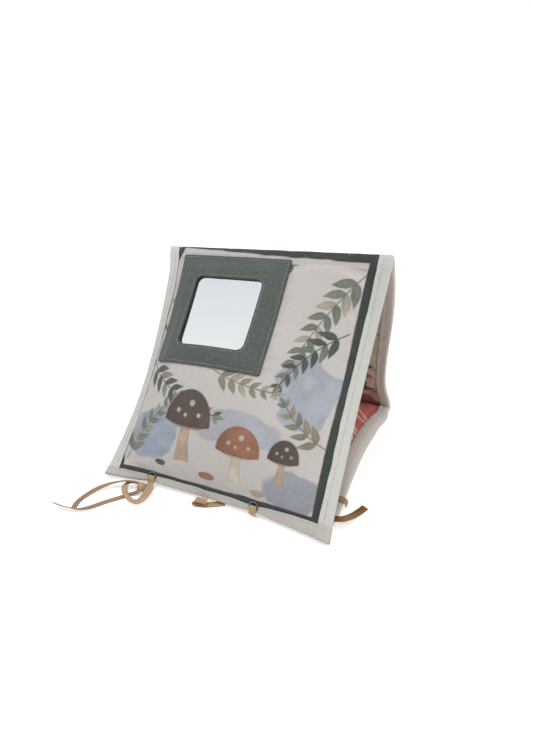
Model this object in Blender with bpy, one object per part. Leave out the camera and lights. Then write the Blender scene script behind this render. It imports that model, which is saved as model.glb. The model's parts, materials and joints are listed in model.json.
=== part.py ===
# Soft cloth book of three padded pages in one folding strip, stood up as a three-sided prism.
# X runs along the folds, -Y is the front, Z is up, and the base page lies on Z = 0.

import math

import bpy
import bmesh
import numpy as np
from mathutils import Matrix, Vector

# Strip: one width, and the three lines that the folded strip stands between
STRIP_WIDTH = 0.2000
RIDGE_Y = 0.0049
RIDGE_HEIGHT = 0.1820
RIDGE_RISE = 0.0060          # the right end of the ridge is this much above its middle, the left end below
REAR_Y = 0.1135
FOOT_Y = -0.0999             # where the front page meets the floor, at its middle
FOOT_SLANT = 0.0052
FOOT_FLARE = 0.0096          # the corners of the foot stand this far in front of its middle
FOOT_LIFT = 0.0024
FOOT_GAP = 0.0064            # the base page's free end is this far behind the foot

# Cloth, wadding and edge tape
CLOTH = 0.0006
TAPE = 0.0007
GAP = 0.0003
EDGE_HALF = 0.0018           # half the page's thickness beside its edges, tape left out
CROWN = 0.0020               # how much more there is on each face in the middle
CROWN_POWER = 6
TAPE_WIDTH = 0.0105
TAPE_SHOULDER = 0.0013       # from the tape's outermost line to where it lies flat on the page
WADDING_INSET = 0.0020
FOLD_SEGMENTS = 12
FOLD_REACH = math.radians(118)   # how far the fold's cloth goes round, each way from its middle
FOLD_FREE = 0.0068           # the padded body starts this far from a fold's axis
BOUND_HALF = EDGE_HALF + GAP + TAPE
LAP_HALF = BOUND_HALF + GAP + TAPE   # where the end tape laps over the side tape
FOLD_RADIUS = BOUND_HALF
CLOTH_FREE = math.sqrt(FOLD_RADIUS ** 2 - (EDGE_HALF - CLOTH) ** 2) + GAP   # clear of the fold's bent cloth

# Front page: how its surface departs from a flat one, at its left edge, middle and right edge
FRONT_BOW = (-0.0105, 0.0130, -0.0154)
FRONT_SWAY = (0.0034, -0.0055, -0.0010)
FRONT_LEFT_DRAW = 0.0032
FRONT_LEFT_PULL = 0.0340     # how strongly the left edge curls in beside the ridge
FRONT_RIGHT_DRAW = 0.0040
FRONT_LENGTH = 0.2131

# Back and base page
BACK_BOW = 0.0155
BACK_BOW_FALL = 0.0030       # the bow is this much less at the right edge than at the middle
BACK_SWAY = -0.0020
BACK_PULL = 0.0620           # how strongly the page's side edges curl in beside the rear fold
BACK_LENGTH = 0.2160
BASE_LENGTH = REAR_Y - FOOT_Y - FOOT_GAP
BASE_DRAW = 0.0048

# Mirror window
PATCH_WIDTH, PATCH_LENGTH = 0.1035, 0.1005
PATCH_FROM_TAPE = 0.00675    # between the left edge tape and the patch
PATCH_X, PATCH_V = TAPE_WIDTH + PATCH_FROM_TAPE + PATCH_WIDTH / 2 - STRIP_WIDTH / 2, 0.0565
WINDOW_WIDTH, WINDOW_LENGTH, WINDOW_RADIUS = 0.0640, 0.0630, 0.0060
WINDOW_SHIFT = (0.0008, 0.0019)
PATCH_CLOTH = 0.0014
PATCH_RIM = 0.0010           # how much more there is round the window, where its facing is turned in
MIRROR_THICKNESS = 0.0010
MIRROR_MARGIN = 0.0070
PATCH_SLOPE = 0.0022
WINDOW_CORNER_STEPS = 5
MIRROR_FIELDS, RIGHT_FIELDS, FOOT_FIELDS = 5, 5, 7   # how finely the page's facets divide there

# Eyelets near the free ends
EYELET_X = (-0.0560, 0.0370)
EYELET_INSET = 0.0070
EYELET_BORE = 0.0021
EYELET_BARREL = 0.0026
EYELET_FLANGE = 0.0038
EYELET_FLANGE_THICKNESS = 0.0005
EYELET_SIDES = 14

# Ribbon
RIBBON_WIDTH = 0.0060
RIBBON_THICKNESS = 0.0005
RIBBON_STEP = 0.0050
KNOT_WIDTH, KNOT_DEPTH, KNOT_HEIGHT = 0.0090, 0.0070, 0.0074
KNOT_CENTRE = Vector((-0.0593, -0.1157, 0.0045))
LEFT_TIE_END = Vector((-0.0545, -0.1118, 0.0050))
KNOT_SIDES, KNOT_RINGS = 14, 8
KNOT_WAIST_SHARE = 0.18      # how far the crossing turn draws the knot in at its middle

OVERRUN = 0.0200
PROBE = 0.00005              # step for measuring the slope of a page


def clear_scene():
    for obj in list(bpy.data.objects):
        bpy.data.objects.remove(obj, do_unlink=True)


def material(name, colour, roughness, metallic=0.0):
    mat = bpy.data.materials.get(name) or bpy.data.materials.new(name)
    mat.diffuse_color = (*colour, 1.0)
    mat.use_nodes = True
    shader = mat.node_tree.nodes["Principled BSDF"]
    shader.inputs["Base Color"].default_value = (*colour, 1.0)
    shader.inputs["Roughness"].default_value = roughness
    shader.inputs["Metallic"].default_value = metallic
    return mat


def printed_cotton():
    return material("printed_cotton", (0.62, 0.57, 0.52), 0.85)


def coral_cotton():
    return material("coral_cotton", (0.62, 0.17, 0.13), 0.85)


def beige_cotton():
    return material("beige_cotton", (0.60, 0.50, 0.42), 0.85)


def wadding_fibre():
    return material("wadding_fibre", (0.85, 0.85, 0.83), 0.95)


def white_tape():
    return material("white_tape", (0.72, 0.71, 0.67), 0.85)


def green_canvas():
    return material("green_canvas", (0.12, 0.145, 0.125), 0.90)


def mirror_acrylic():
    return material("mirror_acrylic", (0.88, 0.90, 0.92), 0.05, 1.0)


def eyelet_metal():
    return material("eyelet_metal", (0.10, 0.10, 0.10), 0.45, 1.0)


def tan_satin():
    return material("tan_satin", (0.45, 0.30, 0.17), 0.40)


def finish(name, bm, mat, smooth=True):
    bmesh.ops.recalc_face_normals(bm, faces=bm.faces)
    mesh = bpy.data.meshes.new(name)
    bm.to_mesh(mesh)
    bm.free()
    mesh.materials.append(mat)
    if smooth:
        mesh.shade_smooth()
        mesh.set_sharp_from_angle(angle=math.radians(35))
    obj = bpy.data.objects.new(name, mesh)
    bpy.context.scene.collection.objects.link(obj)
    return obj


# The middle surface of each page. x runs across the strip, and v from 0 to 1 along each page, in the order
# base page, back page, front page, so that one rule gives the side that faces out of the prism.

def across(three, u):
    left, middle, right = three
    return left * u * (u - 1) / 2 + middle * (1 - u * u) + right * u * (u + 1) / 2


def bowed(start, end, bow, sway, v):
    chord = end - start
    normal = Vector((0, chord.z, -chord.y)).normalized()
    return start + chord * v + normal * (bow * math.sin(math.pi * v) + sway * math.sin(2 * math.pi * v))


def pulled_in_share(v):
    """How a side edge curls in beside the fold that its page starts from."""
    return v * (1 - v) ** 3


def ridge_point(u):
    return Vector((0, RIDGE_Y, RIDGE_HEIGHT + RIDGE_RISE * u))


def rear_point():
    return Vector((0, REAR_Y, LAP_HALF))


def front_page(x, v):
    u = x / (STRIP_WIDTH / 2)
    foot = Vector((0, FOOT_Y + FOOT_SLANT * u - FOOT_FLARE * u * u, FOOT_LIFT))
    point = bowed(ridge_point(u), foot, across(FRONT_BOW, u), across(FRONT_SWAY, u), v)
    draw, pull = (FRONT_RIGHT_DRAW, 0) if u > 0 else (FRONT_LEFT_DRAW, FRONT_LEFT_PULL)
    point.x = x - math.copysign(u * u, u) * (draw * math.sin(math.pi * v) + pull * pulled_in_share(v))
    return point


def back_page(x, v):
    u = x / (STRIP_WIDTH / 2)
    point = bowed(rear_point(), ridge_point(u), BACK_BOW - BACK_BOW_FALL * u, BACK_SWAY, v)
    point.x = x - math.copysign(u * u, u) * BACK_PULL * pulled_in_share(v)
    return point


def base_page(x, v):
    u = x / (STRIP_WIDTH / 2)
    side = math.copysign(BASE_DRAW * u * u, u) * math.sin(math.pi * v)
    return Vector((x - side, REAR_Y - BASE_LENGTH * (1 - v), LAP_HALF))


def offset_point(page, x, v, w):
    """Point on a page at height w over its middle surface, outwards positive."""
    step = PROBE / STRIP_WIDTH
    along_x = page(x + PROBE, v) - page(x - PROBE, v)
    along_v = page(x, v + step) - page(x, v - step)
    return page(x, v) + along_v.cross(along_x).normalized() * w


# Grid lines across and along the pages. Layers of one page share them, so their facets stay parallel.

def side_lines():
    half = STRIP_WIDTH / 2
    inner = half - TAPE_WIDTH
    return [half - WADDING_INSET, inner, inner - TAPE - 2 * GAP]


def mirror_half_sizes():
    return WINDOW_WIDTH / 2 + MIRROR_MARGIN, WINDOW_LENGTH / 2 + MIRROR_MARGIN


def window_centre():
    return PATCH_X + WINDOW_SHIFT[0], PATCH_V + WINDOW_SHIFT[1]


def front_x_lines():
    sides = side_lines()
    cx = window_centre()[0]
    mx = mirror_half_sizes()[0]
    patch_left, patch_right = PATCH_X - PATCH_WIDTH / 2, PATCH_X + PATCH_WIDTH / 2
    right_field = np.linspace(patch_right, sides[-1], RIGHT_FIELDS + 1)[1:-1]
    mirror = np.linspace(cx - mx, cx + mx, MIRROR_FIELDS + 1)
    return sorted([-s for s in sides] + sides + list(right_field) + list(mirror) +
                  [patch_left, cx - mx - PATCH_SLOPE, cx + mx + PATCH_SLOPE, patch_right])


def front_v_lines(start, end):
    cv = window_centre()[1]
    mv = mirror_half_sizes()[1]
    patch_top, patch_foot = PATCH_V - PATCH_LENGTH / 2, PATCH_V + PATCH_LENGTH / 2
    tape_line = FRONT_LENGTH - TAPE_WIDTH
    field = np.linspace(patch_foot, tape_line, FOOT_FIELDS + 1)[1:-1]
    mirror = np.linspace(cv - mv, cv + mv, MIRROR_FIELDS + 1)
    inner = [patch_top, cv - mv - PATCH_SLOPE] + list(mirror) + [cv + mv + PATCH_SLOPE, patch_foot]
    lines = [start] + [s for s in inner if s > start + GAP] + list(field) + [tape_line, end]
    return [s / FRONT_LENGTH for s in lines]


def plain_x_lines(fields=8):
    sides = side_lines()
    return sorted([-s for s in sides] + list(np.linspace(-sides[-1], sides[-1], fields + 1))[1:-1] + sides)


def plain_v_lines(start, end, length, fields=11):
    return [s / length for s in np.linspace(start, end, fields + 1)]


def swell(x, s, length):
    """Share of the crown at x across and s along a page: 0 beside the edges, 1 in the middle."""
    a = min(abs(x) / (STRIP_WIDTH / 2 - TAPE_WIDTH), 1.0)
    b = min(abs(2 * s / length - 1) / (1 - 2 * TAPE_WIDTH / length), 1.0)
    return (1 - a ** CROWN_POWER) * (1 - b ** CROWN_POWER)


def page_half(length):
    return lambda x, v: EDGE_HALF + CROWN * swell(x, v * length, length)


def slab(name, page, x_lines, v_lines, low, high, mat):
    """Closed sheet between two heights over a page, on the given lines."""
    bm = bmesh.new()
    rows = []
    for height in (high, low):
        rows.append([[bm.verts.new(offset_point(page, x, v, height(x, v))) for x in x_lines] for v in v_lines])
    top, under = rows
    for grid in rows:
        for j in range(len(v_lines) - 1):
            for i in range(len(x_lines) - 1):
                a, b, c, d = grid[j][i], grid[j][i + 1], grid[j + 1][i + 1], grid[j + 1][i]
                bm.faces.new((a, b, c))
                bm.faces.new((a, c, d))
    last_i, last_j = len(x_lines) - 1, len(v_lines) - 1
    border = [(0, i) for i in range(last_i)] + [(j, last_i) for j in range(last_j)]
    border += [(last_j, last_i - i) for i in range(last_i)] + [(last_j - j, 0) for j in range(last_j)]
    for (j, i), (jj, ii) in zip(border, border[1:] + border[:1]):
        bm.faces.new((top[j][i], top[jj][ii], under[jj][ii], under[j][i]))
    return finish(name, bm, mat)


def page_layers(prefix, page, x_lines, v_lines, cloth_v_lines, length, outer_mat, inner_mat, outer_half=None):
    """Outer cloth, wadding and inner cloth of one page."""
    half = page_half(length)
    outer = outer_half or half
    slab(prefix + "_outer_cloth", page, x_lines, cloth_v_lines,
         lambda x, v: outer(x, v) - CLOTH, outer, outer_mat)
    slab(prefix + "_wadding", page, x_lines, v_lines,
         lambda x, v: -half(x, v) + CLOTH + GAP, lambda x, v: outer(x, v) - CLOTH - GAP, wadding_fibre())
    slab(prefix + "_inner_cloth", page, x_lines, v_lines,
         lambda x, v: -half(x, v), lambda x, v: CLOTH - half(x, v), inner_mat)


def tape_section(height):
    """Folded tape round an edge, as (distance in from its outermost line, height over the middle)."""
    outside = height + TAPE
    nose = outside * 0.5
    return [(TAPE_WIDTH, outside), (TAPE_SHOULDER, outside), (0, nose), (0, -nose), (TAPE_SHOULDER, -outside),
            (TAPE_WIDTH, -outside), (TAPE_WIDTH, -height), (TAPE_SHOULDER, -height),
            (TAPE, TAPE - nose), (TAPE, nose - TAPE), (TAPE_SHOULDER, height), (TAPE_WIDTH, height)]


def tape_turned(mirrored):
    """Sides of the tape's section to split along the other diagonal; mirrored where v or x runs inwards."""
    sides = range(len(tape_section(EDGE_HALF)))
    half = len(sides) // 2
    return [i for i in sides if (i % half >= half // 2) != mirrored]


def loft(name, rings, mat, turned=()):
    """Closed solid through equal rings of points, each ring going out along one side and back along the other.

    turned lists the sides whose facets are split along the other diagonal, so that both faces of a thin
    sheet, and the sheet under it, are split alike.
    """
    bm = bmesh.new()
    verts = [[bm.verts.new(p) for p in ring] for ring in rings]
    count = len(rings[0])
    for a, b in zip(verts, verts[1:]):
        for i in range(count):
            k = (i + 1) % count
            if i in turned:
                bm.faces.new((a[i], a[k], b[i]))
                bm.faces.new((a[k], b[k], b[i]))
            else:
                bm.faces.new((a[i], a[k], b[k]))
                bm.faces.new((a[i], b[k], b[i]))
    for ring in (verts[0], verts[-1]):
        for i in range(count // 2 - 1):
            a, b, c, d = ring[i], ring[i + 1], ring[count - 2 - i], ring[count - 1 - i]
            bm.faces.new((a, b, c))
            bm.faces.new((a, c, d))
    return finish(name, bm, mat)


def side_tape(name, page, side, v_lines):
    """White tape folded over one long side of a page; side is -1 at the left and 1 at the right."""
    section = tape_section(EDGE_HALF + GAP)
    edge = STRIP_WIDTH / 2
    rings = [[offset_point(page, side * (edge - d), v, w) for d, w in section] for v in v_lines]
    return loft(name, rings, white_tape(), tape_turned(side < 0))


def end_tape(name, page, x_lines, end, inward):
    """White tape folded over a free end at v = end, lapped over both side tapes at the corners.

    inward is the change of v for each metre in from the end.
    """
    edge = STRIP_WIDTH / 2
    lap_line = side_lines()[-1]
    lines = [-edge] + list(x_lines) + [edge]
    rings = []
    for x in lines:
        lap = TAPE + GAP if abs(x) > lap_line + PROBE else 0.0
        section = tape_section(EDGE_HALF + GAP + lap)
        rings.append([offset_point(page, x, end + inward * d, w) for d, w in section])
    return loft(name, rings, white_tape(), tape_turned(inward > 0))


def fold_tube(name, start, end, middle_angle, mat):
    """Cloth bent round a fold's axis, from one page's end to the next one's, centred on middle_angle."""
    axis = (end - start).normalized()
    side = axis.cross(Vector((0, 0, 1))).normalized()
    up = side.cross(axis).normalized()
    outer, inner = FOLD_RADIUS, FOLD_RADIUS - CLOTH
    rings = []
    for k in range(FOLD_SEGMENTS + 1):
        angle = middle_angle + FOLD_REACH * (2 * k / FOLD_SEGMENTS - 1)
        ray = -side * math.cos(angle) + up * math.sin(angle)
        rings.append([start + ray * outer, end + ray * outer, end + ray * inner, start + ray * inner])
    return loft(name, rings, mat)


def fold_cloths(prefix, left, right, middle_angle, mat):
    """Cloth over a fold between the side tapes, and the two tapes where they go round the fold."""
    run = right - left
    width = run.length
    share = (TAPE_WIDTH + GAP / 2) / width
    seam = GAP / 2 / width
    fold_tube(prefix + "_cloth", left + run * (share + seam), left + run * (1 - share - seam), middle_angle, mat)
    fold_tube(prefix + "_left_tape", left, left + run * (share - seam), middle_angle, white_tape())
    fold_tube(prefix + "_right_tape", left + run * (1 - share + seam), right, middle_angle, white_tape())


def cut(target, cutter):
    boolean = target.modifiers.new("cut", "BOOLEAN")
    boolean.operation = "DIFFERENCE"
    boolean.solver = "EXACT"
    boolean.object = cutter
    cutter.hide_render = True
    cutter.display_type = "WIRE"


def page_matrix(page, x, v):
    """Frame on a page's middle surface: X across, Y up the page, Z outwards."""
    step = PROBE / STRIP_WIDTH
    across_dir = (page(x + PROBE, v) - page(x - PROBE, v)).normalized()
    out = (page(x, v + step) - page(x, v - step)).cross(across_dir).normalized()
    up = out.cross(across_dir)
    turn = Matrix((across_dir, up, out)).transposed().to_4x4()
    return Matrix.Translation(page(x, v)) @ turn


def mirror_layers():
    """Mirror sheet, and the canvas patch that holds it with a round-cornered window."""
    half = page_half(FRONT_LENGTH)
    cx, cv = window_centre()
    mx, mv = mirror_half_sizes()
    patch_left, patch_right = PATCH_X - PATCH_WIDTH / 2, PATCH_X + PATCH_WIDTH / 2
    patch_top, patch_foot = PATCH_V - PATCH_LENGTH / 2, PATCH_V + PATCH_LENGTH / 2
    x_lines = front_x_lines()
    v_lines = front_v_lines(CLOTH_FREE, FRONT_LENGTH - WADDING_INSET)

    def seat(x, v):
        return half(x, v) + GAP

    def over_mirror(x, v, more=MIRROR_THICKNESS + GAP):
        s = v * FRONT_LENGTH
        inside = abs(x - cx) < mx + PROBE and abs(s - cv) < mv + PROBE
        return seat(x, v) + (more if inside else 0.0)

    def patch_top_face(x, v):
        return over_mirror(x, v, MIRROR_THICKNESS + GAP + PATCH_RIM) + PATCH_CLOTH

    mirror_x = [x for x in x_lines if abs(x - cx) < mx - PROBE / 2 or abs(abs(x - cx) - mx) < PROBE]
    mirror_v = [v for v in v_lines if abs(v * FRONT_LENGTH - cv) < mv + PROBE]
    slab("mirror_sheet", front_page, mirror_x, mirror_v, seat,
         lambda x, v: seat(x, v) + MIRROR_THICKNESS, mirror_acrylic())

    patch_x = [x for x in x_lines if patch_left - PROBE < x < patch_right + PROBE]
    patch_v = [v for v in v_lines if patch_top - PROBE < v * FRONT_LENGTH < patch_foot + PROBE]
    frame = slab("mirror_frame", front_page, patch_x, patch_v, over_mirror,
                 patch_top_face, green_canvas())

    outline = []
    for sx, sy, start in ((1, 1, 0), (-1, 1, 1), (-1, -1, 2), (1, -1, 3)):
        for k in range(WINDOW_CORNER_STEPS + 1):
            angle = math.radians(90) * (start + k / WINDOW_CORNER_STEPS)
            outline.append((sx * (WINDOW_WIDTH / 2 - WINDOW_RADIUS) + WINDOW_RADIUS * math.cos(angle),
                            sy * (WINDOW_LENGTH / 2 - WINDOW_RADIUS) + WINDOW_RADIUS * math.sin(angle)))
    place = page_matrix(front_page, cx, cv / FRONT_LENGTH)
    rings = [[place @ Vector((x, y, z)) for x, y in outline] for z in (-OVERRUN, OVERRUN)]
    cutter = loft("window_cutter", rings, green_canvas())
    cut(frame, cutter)


def eyelets(prefix, page, v, layers):
    """Two turned eyelets through a page's free end, and the holes that they sit in."""
    face = BOUND_HALF + GAP
    top = face + EYELET_FLANGE_THICKNESS
    profile = [(EYELET_BORE, top), (EYELET_FLANGE, top), (EYELET_FLANGE, face), (EYELET_BARREL, face),
               (EYELET_BARREL, -face), (EYELET_FLANGE, -face), (EYELET_FLANGE, -top), (EYELET_BORE, -top)]
    for side, x in zip(("left", "right"), EYELET_X):
        place = page_matrix(page, x, v)
        bm = bmesh.new()
        rings = []
        for k in range(EYELET_SIDES):
            angle = 2 * math.pi * k / EYELET_SIDES
            rings.append([bm.verts.new(place @ Vector((r * math.cos(angle), r * math.sin(angle), z)))
                          for r, z in profile])
        for a, b in zip(rings, rings[1:] + rings[:1]):
            for i in range(len(profile)):
                j = (i + 1) % len(profile)
                bm.faces.new((a[i], a[j], b[j], b[i]))
        finish(prefix + "_" + side + "_eyelet", bm, eyelet_metal())
        bpy.ops.mesh.primitive_cylinder_add(vertices=EYELET_SIDES, radius=EYELET_BARREL + GAP, depth=OVERRUN)
        cutter = bpy.context.object
        cutter.name = prefix + "_" + side + "_eyelet_cutter"
        cutter.matrix_world = place
        for layer in layers:
            cut(bpy.data.objects[layer], cutter)


def smooth_route(points, step):
    """Catmull-Rom curve through hand-chosen rows of numbers, sampled about every step along it."""
    rows = [np.array(p, float) for p in points]
    ends = [2 * rows[0] - rows[1]] + rows + [2 * rows[-1] - rows[-2]]
    result = []
    for a, b, c, d in zip(ends, ends[1:], ends[2:], ends[3:]):
        pieces = max(2, round(float(np.linalg.norm((c - b)[:3])) / step))
        for k in range(pieces):
            t = k / pieces
            result.append(0.5 * (2 * b + (c - a) * t + (2 * a - 5 * b + 4 * c - d) * t * t +
                                 (3 * b - a - 3 * c + d) * t ** 3))
    result.append(rows[-1])
    return result


def ribbon(name, route, faces, widths=None):
    """Flat ribbon along a route; faces gives, at each route point, the side that its flat face looks to."""
    widths = widths or [RIBBON_WIDTH] * len(route)
    rows = smooth_route([(*p, *f, w) for p, f, w in zip(route, faces, widths)], RIBBON_STEP)
    centres = [Vector(row[:3]) for row in rows]
    rings = []
    for i, (centre, row) in enumerate(zip(centres, rows)):
        before, after = centres[max(i - 1, 0)], centres[min(i + 1, len(centres) - 1)]
        run = (after - before).normalized()
        look = Vector(row[3:6])
        look = (look - run * look.dot(run)).normalized()
        wide = run.cross(look) * (row[6] / 2)
        thick = look * (RIBBON_THICKNESS / 2)
        rings.append([centre + wide + thick, centre - wide + thick, centre - wide - thick, centre + wide - thick])
    return loft(name, rings, tan_satin(), turned=(2,))


# Ribbon routes. The two ties follow the page; the rest lie on the floor, as chosen by hand.

UPWARD = (0, 0, 1)
RIGHTWARD = (1, 0, 0)
TILTED_FRONT = (0, -0.6, 0.8)
TILTED_BACK = (0, 0.5, 0.9)


def from_right_edge(rows):
    """Route points whose X is given from the strip's right edge."""
    return [(STRIP_WIDTH / 2 + x, y, z) for x, y, z in rows]


LOOP_ROUTE = [(-0.0641, -0.1137, 0.0054), (-0.0696, -0.1148, 0.0055), (-0.0729, -0.1172, 0.0050),
              (-0.0724, -0.1213, 0.0040), (-0.0692, -0.1252, 0.0032), (-0.0638, -0.1286, 0.0027),
              (-0.0577, -0.1306, 0.0027), (-0.0527, -0.1305, 0.0032), (-0.0502, -0.1276, 0.0042),
              (-0.0499, -0.1229, 0.0050), (-0.0506, -0.1176, 0.0058), (-0.0515, -0.1133, 0.0062)]
LOOP_FACES = [(0, 0.4, 0.9), (0, 0.3, 1), (-0.3, 0, 1), UPWARD, UPWARD, (0.1, -0.3, 1),
              TILTED_FRONT, (0.4, -0.6, 0.7), (0.6, -0.5, 0.7), (0.6, -0.5, 0.7), (0.4, -0.6, 0.7),
              (0.2, -0.6, 0.8)]

UPPER_TAIL_ROUTE = [(-0.0628, -0.1152, 0.0072), (-0.0680, -0.1158, 0.0074), (-0.0733, -0.1171, 0.0070),
                    (-0.0790, -0.1193, 0.0060), (-0.0849, -0.1227, 0.0046), (-0.0897, -0.1270, 0.0034),
                    (-0.0932, -0.1322, 0.0024), (-0.0956, -0.1378, 0.0014), (-0.0970, -0.1436, 0.0008),
                    (-0.0967, -0.1492, 0.0010), (-0.0954, -0.1536, 0.0012)]
UPPER_TAIL_FACES = [TILTED_BACK] * 3 + [(0, 0.45, 1), (0, 0.35, 1), (0, 0.2, 1)] + [UPWARD] * 5

LOWER_TAIL_ROUTE = [(-0.0605, -0.1208, 0.0025), (-0.0624, -0.1216, 0.0014), (-0.0652, -0.1234, 0.0006),
                    (-0.0684, -0.1276, 0.0004), (-0.0717, -0.1322, 0.0004), (-0.0751, -0.1365, 0.0004),
                    (-0.0787, -0.1417, 0.0004), (-0.0818, -0.1471, 0.0007), (-0.0849, -0.1523, 0.0016),
                    (-0.0888, -0.1565, 0.0026), (-0.0944, -0.1591, 0.0034), (-0.1013, -0.1605, 0.0038),
                    (-0.1090, -0.1612, 0.0044)]
LOWER_TAIL_FACES = [(0, -0.4, 0.9), (0, -0.1, 1)] + [UPWARD] * 5 + \
    [(0, 0.1, 1), (0, 0.4, 1), (0.1, 0.7, 0.8)] + [(0.2, 0.8, 0.7)] * 3

MIDDLE_LOOP_ROUTE = [(0.0104, -0.0984, 0.0014), (0.0040, -0.1026, 0.0007), (-0.0020, -0.1060, 0.0006),
                     (-0.0068, -0.1082, 0.0007), (-0.0100, -0.1094, 0.0013), (-0.0118, -0.1098, 0.0029),
                     (-0.0112, -0.1094, 0.0045), (-0.0086, -0.1086, 0.0051), (-0.0050, -0.1078, 0.0050),
                     (-0.0014, -0.1070, 0.0046)]
MIDDLE_LOOP_FACES = [UPWARD] * 4 + [(0.3, 0, 1), RIGHTWARD, (0.7, 0, -0.7)] + [(0, 0, -1)] * 3

SIDE_ROUTE = from_right_edge([
    (-0.0360, -0.0572, 0.0082), (-0.0290, -0.0576, 0.0080), (-0.0220, -0.0580, 0.0078),
    (-0.0150, -0.0583, 0.0075), (-0.0085, -0.0586, 0.0074), (-0.0045, -0.0588, 0.0074),
    (-0.0014, -0.0587, 0.0064), (-0.0002, -0.0584, 0.0046), (0.0002, -0.0580, 0.0026)])
SIDE_FACES = [UPWARD] * 5 + [(0.3, 0, 1), (0.8, 0, 0.6), RIGHTWARD, RIGHTWARD]

BASE_TAIL_ROUTE = from_right_edge([
    (-0.0228, -0.0805, 0.0084), (-0.0165, -0.0823, 0.0084), (-0.0097, -0.0831, 0.0084),
    (-0.0041, -0.0833, 0.0084), (-0.0001, -0.0822, 0.0084), (0.0030, -0.0791, 0.0072),
    (0.0053, -0.0741, 0.0050), (0.0075, -0.0682, 0.0027), (0.0096, -0.0622, 0.0011),
    (0.0119, -0.0567, 0.0006), (0.0138, -0.0521, 0.0008)])
BASE_TAIL_FACES = [UPWARD] * 11


def tie_route(x, distances, heights):
    """Down over the foot tape, at distances in from the foot and heights over the page's middle surface."""
    route = [offset_point(front_page, x, 1 - d / FRONT_LENGTH, w) for d, w in zip(distances, heights)]
    faces = [(point - front_page(x, 1 - d / FRONT_LENGTH)).normalized() for point, d in zip(route, distances)]
    return route, faces


def build_ties():
    """The two ties: each comes out of its eyelet and over the foot, and the right one goes on under it."""
    left_x, right_x = EYELET_X
    clear = BOUND_HALF + GAP + EYELET_FLANGE_THICKNESS + GAP + RIBBON_THICKNESS / 2
    down = [EYELET_INSET, EYELET_INSET / 2, TAPE_SHOULDER]
    gathered = 2 * EYELET_BORE
    widths = [gathered, RIBBON_WIDTH, RIBBON_WIDTH]
    route, faces = tie_route(left_x, down, [clear] * 3)
    route.append(LEFT_TIE_END)
    faces[-1:] = [Vector(TILTED_FRONT), Vector(UPWARD)]
    ribbon("left_tie_ribbon", route, faces, widths + [RIBBON_WIDTH])

    below = RIBBON_THICKNESS
    route, faces = tie_route(right_x, down + [-below, -TAPE_SHOULDER - below],
                             [clear] * 3 + [BOUND_HALF, BOUND_HALF / 4])
    ribbon("right_tie_ribbon", route, faces, widths + [RIBBON_WIDTH] * 2)


def build_knot():
    """Pulled-tight knot: a squat ball drawn in round its middle, where the ribbon crosses."""
    rings = []
    for k in range(KNOT_RINGS + 1):
        angle = math.pi * k / KNOT_RINGS
        along = -math.cos(angle) * KNOT_WIDTH / 2
        girth = max(math.sin(angle), GAP / KNOT_WIDTH) * (1 - KNOT_WAIST_SHARE * math.sin(angle) ** 6)
        ring = []
        for i in range(KNOT_SIDES):
            turn = 2 * math.pi * i / KNOT_SIDES
            ring.append(KNOT_CENTRE + Vector((along, math.cos(turn) * girth * KNOT_DEPTH / 2,
                                              math.sin(turn) * girth * KNOT_HEIGHT / 2)))
        rings.append(ring)
    loft("left_knot", rings, tan_satin())


def build_ribbons():
    build_ties()
    build_knot()
    ribbon("left_loop_ribbon", LOOP_ROUTE, LOOP_FACES)
    ribbon("left_upper_tail_ribbon", UPPER_TAIL_ROUTE, UPPER_TAIL_FACES)
    ribbon("left_lower_tail_ribbon", LOWER_TAIL_ROUTE, LOWER_TAIL_FACES)
    ribbon("middle_loop_ribbon", MIDDLE_LOOP_ROUTE, MIDDLE_LOOP_FACES)
    ribbon("base_side_ribbon", SIDE_ROUTE, SIDE_FACES)
    ribbon("base_tail_ribbon", BASE_TAIL_ROUTE, BASE_TAIL_FACES)


def build_front_page():
    x_lines = front_x_lines()
    end = FRONT_LENGTH - WADDING_INSET
    cloth_v = front_v_lines(CLOTH_FREE, end)
    wadding_v = front_v_lines(FOLD_FREE, end)
    page_layers("front", front_page, x_lines, wadding_v, cloth_v, FRONT_LENGTH, printed_cotton(), beige_cotton())
    side_tape("front_left_tape", front_page, -1, wadding_v)
    side_tape("front_right_tape", front_page, 1, wadding_v)
    end_tape("front_foot_tape", front_page, x_lines, 1, -1 / FRONT_LENGTH)
    mirror_layers()
    eyelets("front", front_page, 1 - EYELET_INSET / FRONT_LENGTH,
            ["front_outer_cloth", "front_wadding", "front_inner_cloth", "front_foot_tape"])


def build_back_page():
    x_lines = plain_x_lines()
    body_v = plain_v_lines(FOLD_FREE, BACK_LENGTH - FOLD_FREE, BACK_LENGTH)
    cloth_v = [CLOTH_FREE / BACK_LENGTH] + body_v + [1 - CLOTH_FREE / BACK_LENGTH]
    page_layers("back", back_page, x_lines, body_v, cloth_v, BACK_LENGTH, printed_cotton(), beige_cotton())
    side_tape("back_left_tape", back_page, -1, body_v)
    side_tape("back_right_tape", back_page, 1, body_v)


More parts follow.
